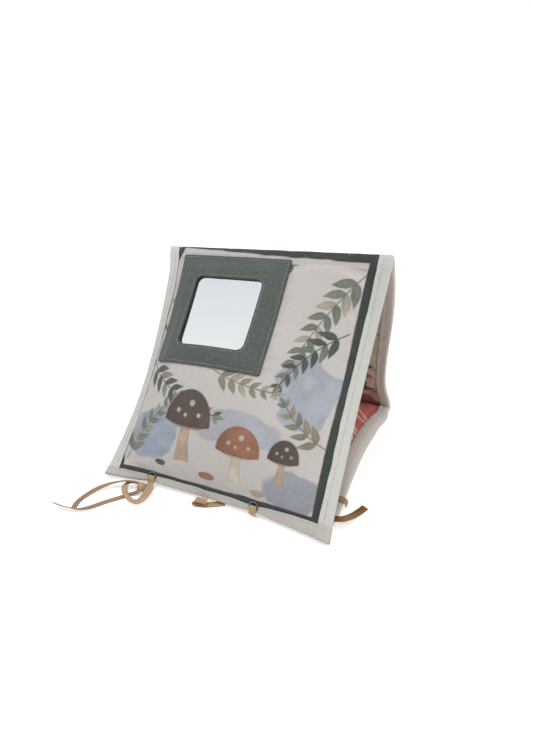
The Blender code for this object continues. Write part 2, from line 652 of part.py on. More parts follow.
def build_base_page():
    x_lines = plain_x_lines()
    body_v = [WADDING_INSET / BASE_LENGTH] + plain_v_lines(TAPE_WIDTH, BASE_LENGTH - FOLD_FREE, BASE_LENGTH)
    cloth_v = body_v + [1 - CLOTH_FREE / BASE_LENGTH]

    def resting(x, v):
        """The underside comes down to the floor inside the tapes, level with their lapped corners."""
        s = v * BASE_LENGTH
        inside = abs(x) < side_lines()[-1] + PROBE and TAPE_WIDTH + PROBE < s < BASE_LENGTH - FOLD_FREE - PROBE
        return LAP_HALF if inside else EDGE_HALF

    page_layers("base", base_page, x_lines, body_v, cloth_v, BASE_LENGTH, printed_cotton(), coral_cotton(), resting)
    side_tape("base_left_tape", base_page, -1, body_v)
    side_tape("base_right_tape", base_page, 1, body_v)
    end_tape("base_front_tape", base_page, x_lines, 0, 1 / BASE_LENGTH)
    eyelets("base", base_page, EYELET_INSET / BASE_LENGTH,
            ["base_outer_cloth", "base_wadding", "base_inner_cloth", "base_front_tape"])


def build_folds():
    half = Vector((STRIP_WIDTH / 2, 0, 0))
    ridge_left, ridge_right = ridge_point(-1) - half, ridge_point(1) + half
    fold_cloths("ridge_fold", ridge_left, ridge_right, math.radians(90), printed_cotton())
    fold_cloths("rear_fold", rear_point() - half, rear_point() + half, math.radians(-30), printed_cotton())


def build_axes():
    """Empties on the two fold axes, with the pages that each one carries."""
    rear = bpy.data.objects.new("rear_fold_axis", None)
    rear.location = rear_point()
    ridge = bpy.data.objects.new("ridge_fold_axis", None)
    ridge.location = ridge_point(0)
    ridge.rotation_euler = (0, -math.atan2(RIDGE_RISE, STRIP_WIDTH / 2), 0)
    for axis in (rear, ridge):
        bpy.context.scene.collection.objects.link(axis)
    bpy.context.view_layer.update()
    ridge.parent = rear
    ridge.matrix_parent_inverse = rear.matrix_world.inverted()
    bpy.context.view_layer.update()
    carried = {"back_": rear, "ridge_fold_": rear, "front_": ridge, "mirror_": ridge, "left_": ridge,
               "middle_": ridge, "right_tie": ridge, "window_": ridge}
    for obj in list(bpy.data.objects):
        for prefix, axis in carried.items():
            if obj.type == "MESH" and obj.name.startswith(prefix):
                obj.parent = axis
                obj.matrix_parent_inverse = axis.matrix_world.inverted()


clear_scene()
build_front_page()
build_back_page()
build_base_page()
build_folds()
build_ribbons()
build_axes()
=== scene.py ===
import json
import math

import bpy
import numpy as np
from mathutils import Matrix, Vector


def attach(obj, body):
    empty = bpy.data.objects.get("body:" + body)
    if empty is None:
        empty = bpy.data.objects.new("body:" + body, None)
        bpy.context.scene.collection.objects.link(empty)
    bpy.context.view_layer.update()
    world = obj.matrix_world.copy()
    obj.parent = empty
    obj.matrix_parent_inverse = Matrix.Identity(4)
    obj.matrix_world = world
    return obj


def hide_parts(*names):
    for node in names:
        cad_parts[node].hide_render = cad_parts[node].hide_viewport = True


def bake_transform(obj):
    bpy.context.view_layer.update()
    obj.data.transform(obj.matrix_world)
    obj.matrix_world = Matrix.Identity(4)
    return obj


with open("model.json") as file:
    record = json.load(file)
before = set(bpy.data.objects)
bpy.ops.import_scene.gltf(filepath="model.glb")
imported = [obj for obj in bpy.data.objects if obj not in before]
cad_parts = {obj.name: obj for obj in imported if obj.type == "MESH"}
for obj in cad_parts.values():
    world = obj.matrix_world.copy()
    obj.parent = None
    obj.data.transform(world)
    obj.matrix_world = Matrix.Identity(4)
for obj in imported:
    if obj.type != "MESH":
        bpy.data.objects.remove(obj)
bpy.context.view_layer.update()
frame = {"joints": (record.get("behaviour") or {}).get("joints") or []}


# Camera. It stands where the photograph was taken from: to the right of the book and above it,
# close by. Its place was fitted to the strip's corners, fold lines and foot in the photograph.

AZIMUTH, ELEVATION, ROLL = math.radians(24.65), math.radians(25.76), math.radians(1.21)
CAMERA_DISTANCE = 0.4129
CAMERA_TARGET = Vector((0.0013, -0.0036, 0.0753))
FOCAL_PIXELS, PHOTO_PIXELS_HIGH = 450, 746
SENSOR_HEIGHT = 36.0

towards = Vector((math.sin(AZIMUTH) * math.cos(ELEVATION), -math.cos(AZIMUTH) * math.cos(ELEVATION),
                  math.sin(ELEVATION)))
level_right = Vector((math.cos(AZIMUTH), math.sin(AZIMUTH), 0))
level_up = towards.cross(level_right)
image_right = level_right * math.cos(ROLL) + level_up * math.sin(ROLL)
image_up = level_up * math.cos(ROLL) - level_right * math.sin(ROLL)
bpy.ops.object.camera_add()
camera = bpy.context.object
camera.name = "camera"
camera.matrix_world = (Matrix.Translation(CAMERA_TARGET + towards * CAMERA_DISTANCE) @
                       Matrix((image_right, image_up, towards)).transposed().to_4x4())
camera.data.sensor_fit = "VERTICAL"
camera.data.sensor_height = SENSOR_HEIGHT
camera.data.lens = FOCAL_PIXELS / PHOTO_PIXELS_HIGH * SENSOR_HEIGHT
camera.data.clip_start = 0.01
bpy.context.scene.camera = camera
bpy.context.scene.view_settings.view_transform = "Standard"


# Floor, background and studio light. A pale sweep under one large lamp from the upper left, with a weaker
# one from the right, and an even sky for the shadows. Camera, gloss and glass see the background as white.

FLOOR_SIZE = 8.0
FLOOR_COLOUR = (0.80, 0.80, 0.79, 1)
FLOOR_LIFT = 0.50
SKY_COLOUR, SKY_STRENGTH = (0.97, 0.985, 1.0, 1), 0.62
WHITE = (1, 1, 1, 1)
LAMPS = {                     # place, width, power and colour
    "key_lamp": ((-0.35, -0.45, 2.05), 0.8, 19.0, (1.0, 1.0, 1.0)),
    "fill_lamp": ((1.35, -0.10, 0.95), 0.8, 7.5, (1.0, 0.92, 0.84)),
}


def node_adder(tree):
    """A function that adds a node to the tree, with given inputs by name or number, and given settings."""
    def add(kind, inputs=None, **settings):
        made = tree.nodes.new("ShaderNode" + kind)
        for key, value in settings.items():
            setattr(made, key, value)
        for key, value in (inputs or {}).items():
            if isinstance(value, bpy.types.NodeSocket):
                tree.links.new(value, made.inputs[key])
            else:
                made.inputs[key].default_value = value
        return made

    return add


def new_material(name):
    """A new material, its shader, and a function that adds nodes to it."""
    mat = bpy.data.materials.new(name)
    mat.use_nodes = True
    return mat, mat.node_tree.nodes["Principled BSDF"], node_adder(mat.node_tree)


def background_rays(add):
    """1 for the rays that see the background as plain white: from the camera, off gloss and through glass."""
    path = add("LightPath").outputs
    seen = add("Math", {0: path["Is Camera Ray"], 1: path["Is Glossy Ray"]}, operation="MAXIMUM")
    return add("Math", {0: seen.outputs[0], 1: path["Is Transmission Ray"]}, operation="MAXIMUM").outputs[0]


bpy.ops.object.select_all(action="DESELECT")
bpy.ops.mesh.primitive_plane_add(size=FLOOR_SIZE)
floor = bpy.context.object
floor.name = "floor"
floor_mat, matt, add = new_material("pale_floor")
matt.inputs["Base Color"].default_value = FLOOR_COLOUR
matt.inputs["Roughness"].default_value = 0.9
lift = add("Math", {0: background_rays(add), 1: FLOOR_LIFT}, operation="MULTIPLY")
glow = add("Emission", {"Color": WHITE, "Strength": lift.outputs[0]})
both = add("AddShader", {0: matt.outputs[0], 1: glow.outputs[0]})
floor_mat.node_tree.links.new(both.outputs[0], floor_mat.node_tree.nodes["Material Output"].inputs["Surface"])
floor.data.materials.append(floor_mat)

world = bpy.data.worlds.new("studio")
bpy.context.scene.world = world
world.use_nodes = True
sky = world.node_tree.nodes["Background"]
sky.inputs["Color"].default_value = SKY_COLOUR
sky.inputs["Strength"].default_value = SKY_STRENGTH
add = node_adder(world.node_tree)
plain = add("Background", {"Color": WHITE})
seen_sky = add("MixShader", {0: background_rays(add), 1: sky.outputs[0], 2: plain.outputs[0]})
world.node_tree.links.new(seen_sky.outputs[0], world.node_tree.nodes["World Output"].inputs["Surface"])

for lamp_name, (place, size, power, colour) in LAMPS.items():
    bpy.ops.object.light_add(type="AREA", location=place)
    lamp = bpy.context.object
    lamp.name = lamp_name
    lamp.data.shape = "DISK"
    lamp.data.size = size
    lamp.data.energy = power
    lamp.data.color = colour
    lamp.rotation_euler = (CAMERA_TARGET - Vector(place)).to_track_quat("-Z", "Y").to_euler()


# The strip's lie. Every piece of cloth is cut and sewn flat, and then laid on its page: flat X runs across
# the strip, flat Y is minus the way along the page, flat Z stands out of it. Page lengths and bows are the
# part's own, except that the tie draws in the base page's free corners.

STRIP_WIDTH = 0.2000
RIDGE_RISE = 0.0060
FRONT_LENGTH, BACK_LENGTH, BASE_LENGTH = 0.2131, 0.2160, 0.2070
FOOT_Y, FOOT_SLANT, FOOT_FLARE, FOOT_LIFT = -0.0999, 0.0052, 0.0096, 0.0024
FRONT_BOW, FRONT_SWAY = (-0.0105, 0.0130, -0.0154), (0.0034, -0.0055, -0.0010)
FRONT_LEFT_DRAW, FRONT_LEFT_PULL, FRONT_RIGHT_DRAW = 0.0032, 0.0340, 0.0040
BACK_BOW, BACK_BOW_FALL, BACK_SWAY, BACK_PULL = 0.0155, 0.0030, -0.0020, 0.0620
BASE_DRAW = 0.0048
CORNER_DRAW, CORNER_REACH = 0.0036, 0.0150    # how far those corners come in, and over what length
PROBE = 0.00005               # step for measuring the slope of a page
SMOOTH_ANGLE = math.radians(50)
joint_places = {joint["name"]: Vector(joint["pos_m"]) for joint in frame["joints"]}
REAR, RIDGE = joint_places["rear_fold"], joint_places["ridge_fold"]


def across(three, u):
    """A size given at the strip's left edge, middle and right edge, at u from -1 to 1."""
    left, middle, right = three
    return left * u * (u - 1) / 2 + middle * (1 - u * u) + right * u * (u + 1) / 2


def bowed(x, start, end, bow, sway, v):
    """Points on a bowed page; start and end are (y, z) of its two lines."""
    run_y, run_z = end[0] - start[0], end[1] - start[1]
    run = np.sqrt(run_y ** 2 + run_z ** 2)
    out = bow * np.sin(np.pi * v) + sway * np.sin(2 * np.pi * v)
    y, z = start[0] + run_y * v, start[1] + run_z * v
    return np.stack([x, y + run_z / run * out, z - run_y / run * out], -1)


def pulled_in_share(v):
    """How a side edge curls in beside the fold that its page starts from."""
    return v * (1 - v) ** 3


def front_page(x, v):
    u = x / (STRIP_WIDTH / 2)
    foot = (FOOT_Y + FOOT_SLANT * u - FOOT_FLARE * u * u, FOOT_LIFT + 0 * u)
    draw = np.where(u > 0, FRONT_RIGHT_DRAW, FRONT_LEFT_DRAW) * np.sin(np.pi * v)
    draw = (draw + np.where(u > 0, 0, FRONT_LEFT_PULL) * pulled_in_share(v)) * u * np.abs(u)
    return bowed(x - draw, (RIDGE.y + 0 * u, RIDGE.z + RIDGE_RISE * u), foot, across(FRONT_BOW, u),
                 across(FRONT_SWAY, u), v)


def back_page(x, v):
    u = x / (STRIP_WIDTH / 2)
    draw = BACK_PULL * pulled_in_share(v) * u * np.abs(u)
    return bowed(x - draw, (REAR.y + 0 * u, REAR.z + 0 * u), (RIDGE.y + 0 * u, RIDGE.z + RIDGE_RISE * u),
                 BACK_BOW - BACK_BOW_FALL * u, BACK_SWAY, v)


def base_page(x, v):
    u = x / (STRIP_WIDTH / 2)
    draw = BASE_DRAW * np.sin(np.pi * v) + CORNER_DRAW * np.exp(-(v * BASE_LENGTH / CORNER_REACH) ** 2)
    return np.stack([x - draw * u * np.abs(u), REAR.y - BASE_LENGTH * (1 - v), REAR.z + 0 * v], -1)


PAGES = {"front": (front_page, FRONT_LENGTH), "back": (back_page, BACK_LENGTH),
         "base": (base_page, BASE_LENGTH)}


def middle_and_out(page_name, x, s):
    """The page's middle at x across and s along it, and the side that faces out of the prism there."""
    page, length = PAGES[page_name]
    v, step = s / length, PROBE / STRIP_WIDTH
    along_x = page(x + PROBE, v) - page(x - PROBE, v)
    along_v = page(x, v + step) - page(x, v - step)
    out = np.cross(along_v, along_x)
    return page(x, v), out / np.linalg.norm(out, axis=1, keepdims=True)


def on_page(page_name, flat):
    """Places in the row frame of flat points (across, minus along, out) on a page."""
    middle, out = middle_and_out(page_name, flat[:, 0], -flat[:, 1])
    return middle + out * flat[:, 2:]


FOLD_TURN = 0.0045            # the cloth turns round within this far of a fold's axis, each way
FOLDS = {"ridge": ("back", "front"), "rear": ("base", "back")}


def on_fold(fold_name, flat):
    """As on_page, over a fold: flat Y is 0 on the axis and negative on the page that comes after it."""
    before, after = FOLDS[fold_name]
    x, t, w = flat[:, 0], -flat[:, 1], flat[:, 2:]
    length = PAGES[before][1]
    first, first_out = middle_and_out(before, x, length + np.minimum(t, 0))
    second, second_out = middle_and_out(after, x, np.maximum(t, 0))
    turn_from = middle_and_out(before, x, length - FOLD_TURN + 0 * x)[1]
    turn_to = middle_and_out(after, x, FOLD_TURN + 0 * x)[1]
    share = np.clip(t / FOLD_TURN, -1, 1)[:, None] / 2 + 0.5
    angle = np.arccos(np.clip((turn_from * turn_to).sum(1, keepdims=True), -1, 1))
    turned = (np.sin((1 - share) * angle) * turn_from + np.sin(share * angle) * turn_to) / np.sin(angle)
    past, far = (t >= 0)[:, None], (np.abs(t) > FOLD_TURN)[:, None]
    out = np.where(far, np.where(past, second_out, first_out), turned)
    return np.where(past, second, first) + out * w


def points(piece):
    flat = np.empty(len(piece.data.vertices) * 3)
    piece.data.vertices.foreach_get("co", flat)
    return flat.reshape(-1, 3)


def move(piece, places):
    piece.data.vertices.foreach_set("co", np.ascontiguousarray(places).ravel())
    piece.data.update()


def keep_flat(piece):
    """Writes each point's flat place to the attribute that the weave, print and seams are drawn from."""
    kept = piece.data.attributes.new("flat", "FLOAT_VECTOR", "POINT")
    kept.data.foreach_set("vector", points(piece).ravel())


def choose(piece):
    bpy.ops.object.select_all(action="DESELECT")
    bpy.context.view_layer.objects.active = piece
    piece.select_set(True)


def lay(piece, page_name):
    """Lays a flat piece on its page, or over the fold between two pages, and smooths its shading."""
    keep_flat(piece)
    place = on_fold if page_name in FOLDS else on_page
    move(piece, place(page_name, points(piece)))
    choose(piece)
    bpy.ops.object.shade_smooth_by_angle(angle=SMOOTH_ANGLE)


def apply_all(piece):
    bpy.context.view_layer.objects.active = piece
    for modifier in list(piece.modifiers):
        bpy.ops.object.modifier_apply(modifier=modifier.name)


# Front page. Printed cotton outside, plain cotton inside and polyester wadding between them, caught all round
# under the edge tape. Sewn flat with the wadding in it, it crowns a little and puckers along its seams.

EDGE_HALF, CROWN, CROWN_POWER = 0.0018, 0.0020, 6
TAPE_WIDTH, TAPE, GAP = 0.0105, 0.0007, 0.0003
WADDING_INSET = 0.0020
PAD_START = 0.0042            # the pads start this far from a fold's axis, under the fold's cloth
PAD_NOSE, NOSE_SHARE = 0.0050, 0.35       # they grow from this share to their full thickness over this length
PAD_SQUARES = 75              # coarse squares across a pad, before they are halved
FLOOR_RAMP = 0.0040           # how far inside the tapes the page underneath comes down to the floor
PUFF_FRAMES, PUFF_PRESSURE, PUFF_GROWTH, PUFF_CAP = 20, 2.5, 0.012, 0.0014


def pad_half(x, s, length):
    """Half a page's thickness at x across and s along it, beside its edges and crowned in its middle."""
    a = np.clip(np.abs(x) / (STRIP_WIDTH / 2 - TAPE_WIDTH), 0, 1)
    b = np.clip(np.abs(2 * s / length - 1) / (1 - 2 * TAPE_WIDTH / length), 0, 1)
    return EDGE_HALF + CROWN * (1 - a ** CROWN_POWER) * (1 - b ** CROWN_POWER)


def eased(share):
    """A share from 0 to 1 that starts and ends gently."""
    return share * share * (3 - 2 * share)


def cut_cloth(name, squares_across, squares_along):
    """A flat piece of cloth one unit wide and long, with its threads along X and Y."""
    bpy.ops.object.select_all(action="DESELECT")
    bpy.ops.mesh.primitive_grid_add(x_subdivisions=squares_across, y_subdivisions=squares_along, size=1)
    piece = bpy.context.object
    piece.name = name
    return piece


def two_faced(piece, lining=1):
    """Gives a cut cloth two faces one unit apart, and returns its points; lining is the inner face's material."""
    faces = piece.modifiers.new("two_faces", "SOLIDIFY")
    faces.thickness = 1
    faces.offset = 0
    faces.material_offset = lining
    apply_all(piece)
    return points(piece)


def padded_page(name, length, first, last, sewn, finer=2, under=None, loft=None):
    """A flat pad from first to last along its page, blown up a little between the points where it is sewn.

    finer is how often its squares are halved at the end, under is how far its outer face stands out, if more, and
    loft is how much fuller its inner face is.
    """
    pad = cut_cloth(name, PAD_SQUARES, round(PAD_SQUARES * (last - first) / STRIP_WIDTH))
    flat = two_faced(pad)
    x = flat[:, 0] * (STRIP_WIDTH - 2 * WADDING_INSET)
    s = first + (0.5 - flat[:, 1]) * (last - first)
    nose = np.clip(np.minimum(s - first, last - s) / PAD_NOSE, 0, 1)
    half = pad_half(x, s, length) * (NOSE_SHARE + (1 - NOSE_SHARE) * np.sqrt(nose * (2 - nose)))
    if under:
        inside = np.minimum(STRIP_WIDTH / 2 - np.abs(x), np.minimum(s, length - s + FLOOR_RAMP)) - TAPE_WIDTH
        rest = np.clip(inside / FLOOR_RAMP, 0, 1)
        half = np.where(flat[:, 2] > 0, half + (under - half) * eased(rest), half)
    if loft:
        half = np.where(flat[:, 2] < 0, half + loft(STRIP_WIDTH / 2 - np.abs(x), s), half)
    move(pad, np.stack([x, -s, np.sign(flat[:, 2]) * half], -1))
    puff(pad, sewn)
    if under:
        move(pad, np.minimum(points(pad), (1, 1, under)))      # the floor keeps its underside flat
    smooth = pad.modifiers.new("smooth", "SUBSURF")
    smooth.levels = smooth.render_levels = finer
    apply_all(pad)
    return pad


def puff(pad, sewn):
    """Cloth simulation of the pad's two faces, held where they are sewn; no point moves past the cap."""
    before = points(pad)
    held = pad.vertex_groups.new(name="sewn")
    held.add([int(i) for i in np.nonzero(sewn(before[:, 0], -before[:, 1]))[0]], 1.0, "REPLACE")
    cloth = pad.modifiers.new("puff", "CLOTH")
    cloth.settings.quality = 5
    cloth.settings.mass = 0.1
    cloth.settings.use_pressure = True
    cloth.settings.uniform_pressure_force = PUFF_PRESSURE
    cloth.settings.shrink_min = -PUFF_GROWTH
    cloth.settings.vertex_group_mass = "sewn"
    cloth.settings.effector_weights.gravity = 0
    cloth.collision_settings.use_collision = False
    for number in range(1, PUFF_FRAMES + 1):
        bpy.context.scene.frame_set(number)
    apply_all(pad)
    bpy.context.scene.frame_set(1)
    moved = points(pad) - before
    far = np.maximum(np.linalg.norm(moved, axis=1, keepdims=True), 1e-9)
    move(pad, before + moved * np.minimum(1, PUFF_CAP / far))


def rough(x, y, size, seed):
    """A soft random field from -1 to 1 that changes over size millimetres."""
    lattice = np.random.RandomState(seed).uniform(-1, 1, (64, 64))
    u, v = x / size + 200.5, y / size + 200.5
    i, j = np.floor(u).astype(int), np.floor(v).astype(int)
    a, b = eased(u - i), eased(v - j)
    corner = [lattice[(i + di) % 64, (j + dj) % 64] for dj in (0, 1) for di in (0, 1)]
    return (corner[0] * (1 - a) + corner[1] * a) * (1 - b) + (corner[2] * (1 - a) + corner[3] * a) * b


def dye(red, green, blue):
    """A colour given as 0 to 255, as linear light."""
    c = np.array([red, green, blue]) / 255
    return np.where(c <= 0.04045, c / 12.92, ((c + 0.055) / 1.055) ** 2.4)


GROUND, BORDER, FLECK = dye(196, 191, 187), dye(46, 53, 51), dye(138, 128, 120)
SAGE, DEEP_SAGE, OLIVE, PALE_OLIVE = (dye(112, 118, 106), dye(70, 78, 74), dye(134, 127, 106),
                                      dye(156, 151, 134))
BEIGE, CORAL, DARK_BROWN, BERRY = dye(190, 172, 158), dye(196, 92, 82), dye(92, 60, 52), dye(170, 92, 82)
TERRACOTTA, BROWN, PEACH, CREAM = (dye(152, 104, 82), dye(84, 70, 64), dye(180, 156, 136),
                                   dye(200, 189, 172))
SKY_WASH, DEEP_WASH = dye(148, 158, 174), dye(108, 120, 144)


class Sheet:
    """A painted cloth face: the places of its points in millimetres, and the colour laid on them so far."""

    def __init__(self, x, y, ground):
        self.x, self.y = x, y
        self.colour = np.tile(ground, (len(x), 1))
        self.seed = 1

    def wash(self, inside, ink, strength=1.0, soft=0.5, rim=0.25):
        """Lays wet colour where inside, the distance in from the outline, is positive; it pools at the rim."""
        self.seed += 3
        cover = np.clip(inside / soft + 0.5, 0, 1) * strength
        tone = 1 + 0.16 * rough(self.x, self.y, 9, self.seed) + 0.08 * rough(self.x, self.y, 2.2, self.seed + 1)
        tone *= 1 - rim * np.exp(-np.maximum(inside, 0) / 0.8)
        self.colour += (ink * tone[:, None] - self.colour) * cover[:, None]

    def leaf(self, base, angle, length, width, ink, bend=0.12, rib=True):
        """A pointed leaf from base, along angle in degrees, with its midrib left paler."""
        turn = math.radians(angle)
        px, py = self.x - base[0], self.y - base[1]
        t = (px * math.cos(turn) + py * math.sin(turn)) / length
        d = py * math.cos(turn) - px * math.sin(turn) - bend * length * t * t
        inner = np.clip(t, 0, 1)
        inside = width / 2 * np.sin(np.pi * inner ** 0.75) - np.abs(d)
        inside = np.where((t < 0) | (t > 1), -1, inside + 0.25 * rough(self.x, self.y, 3, self.seed))
        self.wash(inside, ink * (0.9 + 0.25 * inner[:, None]))
        if rib:
            self.wash(np.where(inside > 0.4, 0.25 - np.abs(d), -1), ink * 1.5, 0.5, 0.4, 0)

    def stem(self, path, width, ink):
        """A thin stroke along a bent line of points."""
        best = np.full(len(self.x), 1e9)
        for (ax, ay), (bx, by) in zip(path, path[1:]):
            lx, ly = bx - ax, by - ay
            t = np.clip(((self.x - ax) * lx + (self.y - ay) * ly) / (lx * lx + ly * ly), 0, 1)
            best = np.minimum(best, np.hypot(self.x - ax - t * lx, self.y - ay - t * ly))
        self.wash(width / 2 - best, ink, 0.95, 0.5, 0.1)

    def sprig(self, start, angle, steps, step, turn, leaf, ink, pale, thick=1.0):
        """A bent stem with leaves on both sides, (length, width) at its foot and smaller to its tip."""
        path, headings = [start], []
        for k in range(steps):
            way = math.radians(angle + turn * k)
            headings.append(angle + turn * k)
            path.append((path[-1][0] + step * math.cos(way), path[-1][1] + step * math.sin(way)))
        for k in range(1, steps + 1):
            size = 1 - 0.55 * k / steps
            for side in (-1, 1):
                tone = ink if (k + (side > 0)) % 3 else pale
                self.leaf(path[k], headings[k - 1] + side * 48, leaf[0] * size, leaf[1] * size, tone,
                          -0.10 * side)
        self.leaf(path[-1], headings[-1], leaf[0] * 0.6, leaf[1] * 0.5, pale)
        self.stem(path, thick, ink * 0.8)

    def cloud(self, centre, radii, ink, strength, seed):
        """A wide pale wash with a broken outline."""
        away = np.hypot((self.x - centre[0]) / radii[0], (self.y - centre[1]) / radii[1])
        inside = 1 - away + 0.22 * rough(self.x, self.y, 16, seed) + 0.08 * rough(self.x, self.y, 5, seed + 1)
        self.wash(inside * min(radii), ink, strength, 1.6, 0.12)

    def toadstool(self, foot, height, width, cap, stem):
        """A round cap on a swelling stem, with paler gills under the cap."""
        cx, cy = foot[0], foot[1] + height * 0.56
        dx, dy = self.x - cx, self.y - cy
        rise = np.clip(-dy / (height * 0.56), 0, 1)
        inside = width * (0.10 + 0.07 * rise ** 2) - np.abs(dx)
        self.wash(np.where((dy < 0) & (dy > -height * 0.56), inside, -1), stem)
        self.wash((1 - np.hypot(dx / (width * 0.42), dy / (height * 0.10))) * 4, stem * 0.72)
        dome = (1 - np.hypot(dx / (width * 0.5), np.maximum(dy, 0) / (height * 0.46))) * width * 0.3
        sag = dy + height * 0.05 * (1 - (dx / (width * 0.5)) ** 2)
        shade = np.clip(0.85 + 0.5 * dy / height + 0.25 * dx / width, 0.6, 1.4)
        self.wash(np.minimum(dome, sag + height * 0.02), cap * shade[:, None])
        for px, py, r in ((-0.22, 0.14, 0.045), (0.05, 0.27, 0.06), (0.24, 0.12, 0.04), (-0.05, 0.09, 0.035)):
            spot = np.hypot(dx - px * width, dy - py * height)
            self.wash(r * width - spot, CREAM, 0.8, 0.8, 0.15)

    def pebble(self, centre, radii, ink):
        inside = (1 - np.hypot((self.x - centre[0]) / radii[0], (self.y - centre[1]) / radii[1])) * min(radii)
        self.wash(inside + 0.3 * rough(self.x, self.y, 4, self.seed), ink)


STRIPE_WIDTH = 6.5            # from here the print's sizes and places are in millimetres
INSIDE_TAPE = 1000 * (STRIP_WIDTH / 2 - TAPE_WIDTH)
FRONT_SPRIGS = [              # foot, heading, leaves, distance apart, turn at each, leaf, two inks
    ((84, -12), 232, 9, 11, 3.0, (21, 8.5), SAGE, PALE_OLIVE),
    ((80, -60), 215, 7, 9.5, 5.0, (19, 7.0), DEEP_SAGE, SAGE),
    ((-88, -108), -38, 9, 10, 3.5, (18, 7.0), DEEP_SAGE, OLIVE),
    ((-86, -196), 72, 7, 10, -5.0, (17, 7.5), SAGE, PALE_OLIVE),
    ((84, -150), 160, 5, 9, -7.0, (17, 6.5), OLIVE, SAGE),
    ((-18, -108), -20, 6, 9, 4.0, (16, 6.5), OLIVE, PALE_OLIVE),
    ((-87, -100), 83, 3, 22, -1.0, (20, 4.0), SAGE, OLIVE),
    ((30, -8), 200, 6, 8, 2.0, (11, 4.5), SAGE, PALE_OLIVE),
    ((-40, -6), 188, 5, 8, -2.0, (10, 4.0), OLIVE, SAGE),
]
LINING_SPRIGS = [
    ((-80, -30), -50, 8, 15, 5.0, (30, 12)),
    ((86, -20), 215, 8, 15, 4.0, (30, 12)),
    ((-60, -200), 70, 7, 15, -6.0, (28, 11)),
    ((40, -204), 62, 7, 14, 7.0, (28, 12)),
    ((92, -110), 190, 6, 13, -5.0, (26, 10)),
    ((88, -190), 150, 5, 13, -8.0, (26, 11)),
]
FRONT_TOADSTOOLS = [          # foot, height, width, cap and stem
    ((-30, -186), 58, 44, BROWN, PEACH),
    ((18, -192), 44, 36, TERRACOTTA, CREAM),
    ((54, -184), 34, 24, BROWN, PEACH),
]
FRONT_PEBBLES = [((-6, -193), (7, 3.2), TERRACOTTA), ((-50, -192), (5, 2.6), BROWN),
                 ((38, -195), (6, 2.8), PEACH)]
FRONT_CLOUDS = [((60, -112), (24, 26), SKY_WASH, 0.75, 11), ((-62, -168), (26, 22), SKY_WASH, 0.9, 23),
                ((4, -150), (44, 12), SKY_WASH, 0.55, 31), ((66, -186), (22, 14), DEEP_WASH, 0.6, 47)]


def stripe(sheet, inside):
    """Dark border colour where inside, the distance in from the stripe's inner line, is positive."""
    sheet.wash(inside, BORDER, 1, 0.5, 0)


def border(sheet, length):
    """The dark stripe printed along all four edges, just inside the tape."""
    wave = 0.5 * rough(sheet.x, sheet.y, 22, 71)
    stripe(sheet, STRIPE_WIDTH - (INSIDE_TAPE - np.abs(sheet.x)) + wave)
    stripe(sheet, STRIPE_WIDTH + sheet.y + wave)
    stripe(sheet, STRIPE_WIDTH - (length * 1000 - TAPE_WIDTH * 1000 + sheet.y) + wave)


def paint(piece, draw, ground, lining, draw_lining=None):
    """Prints the pad's outer face with draw, and dyes or prints its lining."""
    flat = points(piece) * 1000
    outer = flat[:, 2] >= 0
    colour = np.empty((len(flat), 3))
    for chosen, base, art in ((outer, ground, draw), (~outer, lining, draw_lining)):
        sheet = Sheet(flat[chosen, 0], flat[chosen, 1], base)
        if art:
            art(sheet)
        colour[chosen] = sheet.colour
    kept = piece.data.attributes.new("print_and_painted_shade", "FLOAT_COLOR", "POINT")
    kept.data.foreach_set("color", np.column_stack([np.clip(colour, 0, 1), np.ones(len(flat))]).ravel())


def front_art(sheet):
    for centre, radii, ink, strength, seed in FRONT_CLOUDS:
        sheet.cloud(centre, radii, ink, strength, seed)
    for sprig in FRONT_SPRIGS:
        sheet.sprig(*sprig)
    for toadstool in FRONT_TOADSTOOLS:
        sheet.toadstool(*toadstool)
    for pebble in FRONT_PEBBLES:
        sheet.pebble(*pebble)
    front_border(sheet)


def front_border(sheet):
    """The same stripe on the front page, where the left tape took in most of it and the foot tape some."""
    wave = 0.5 * rough(sheet.x, sheet.y, 22, 71)
    left = np.interp(-sheet.y, [9.5, 14, 191, 199], [0.7, -1.0, -1.0, 2.6])
    foot = np.interp(sheet.x, [-95, -60, -30, 0, 20, 40, 55, 85], [0.5, 0.9, -0.2, 0.5, 1.7, 1.5, 2.3, 3.9])
    stripe(sheet, STRIPE_WIDTH - INSIDE_TAPE + sheet.x + wave)
    stripe(sheet, left - INSIDE_TAPE - sheet.x + 0.4 * wave)
    stripe(sheet, foot - 1000 * (FRONT_LENGTH - TAPE_WIDTH) - sheet.y + 1.6 * wave)


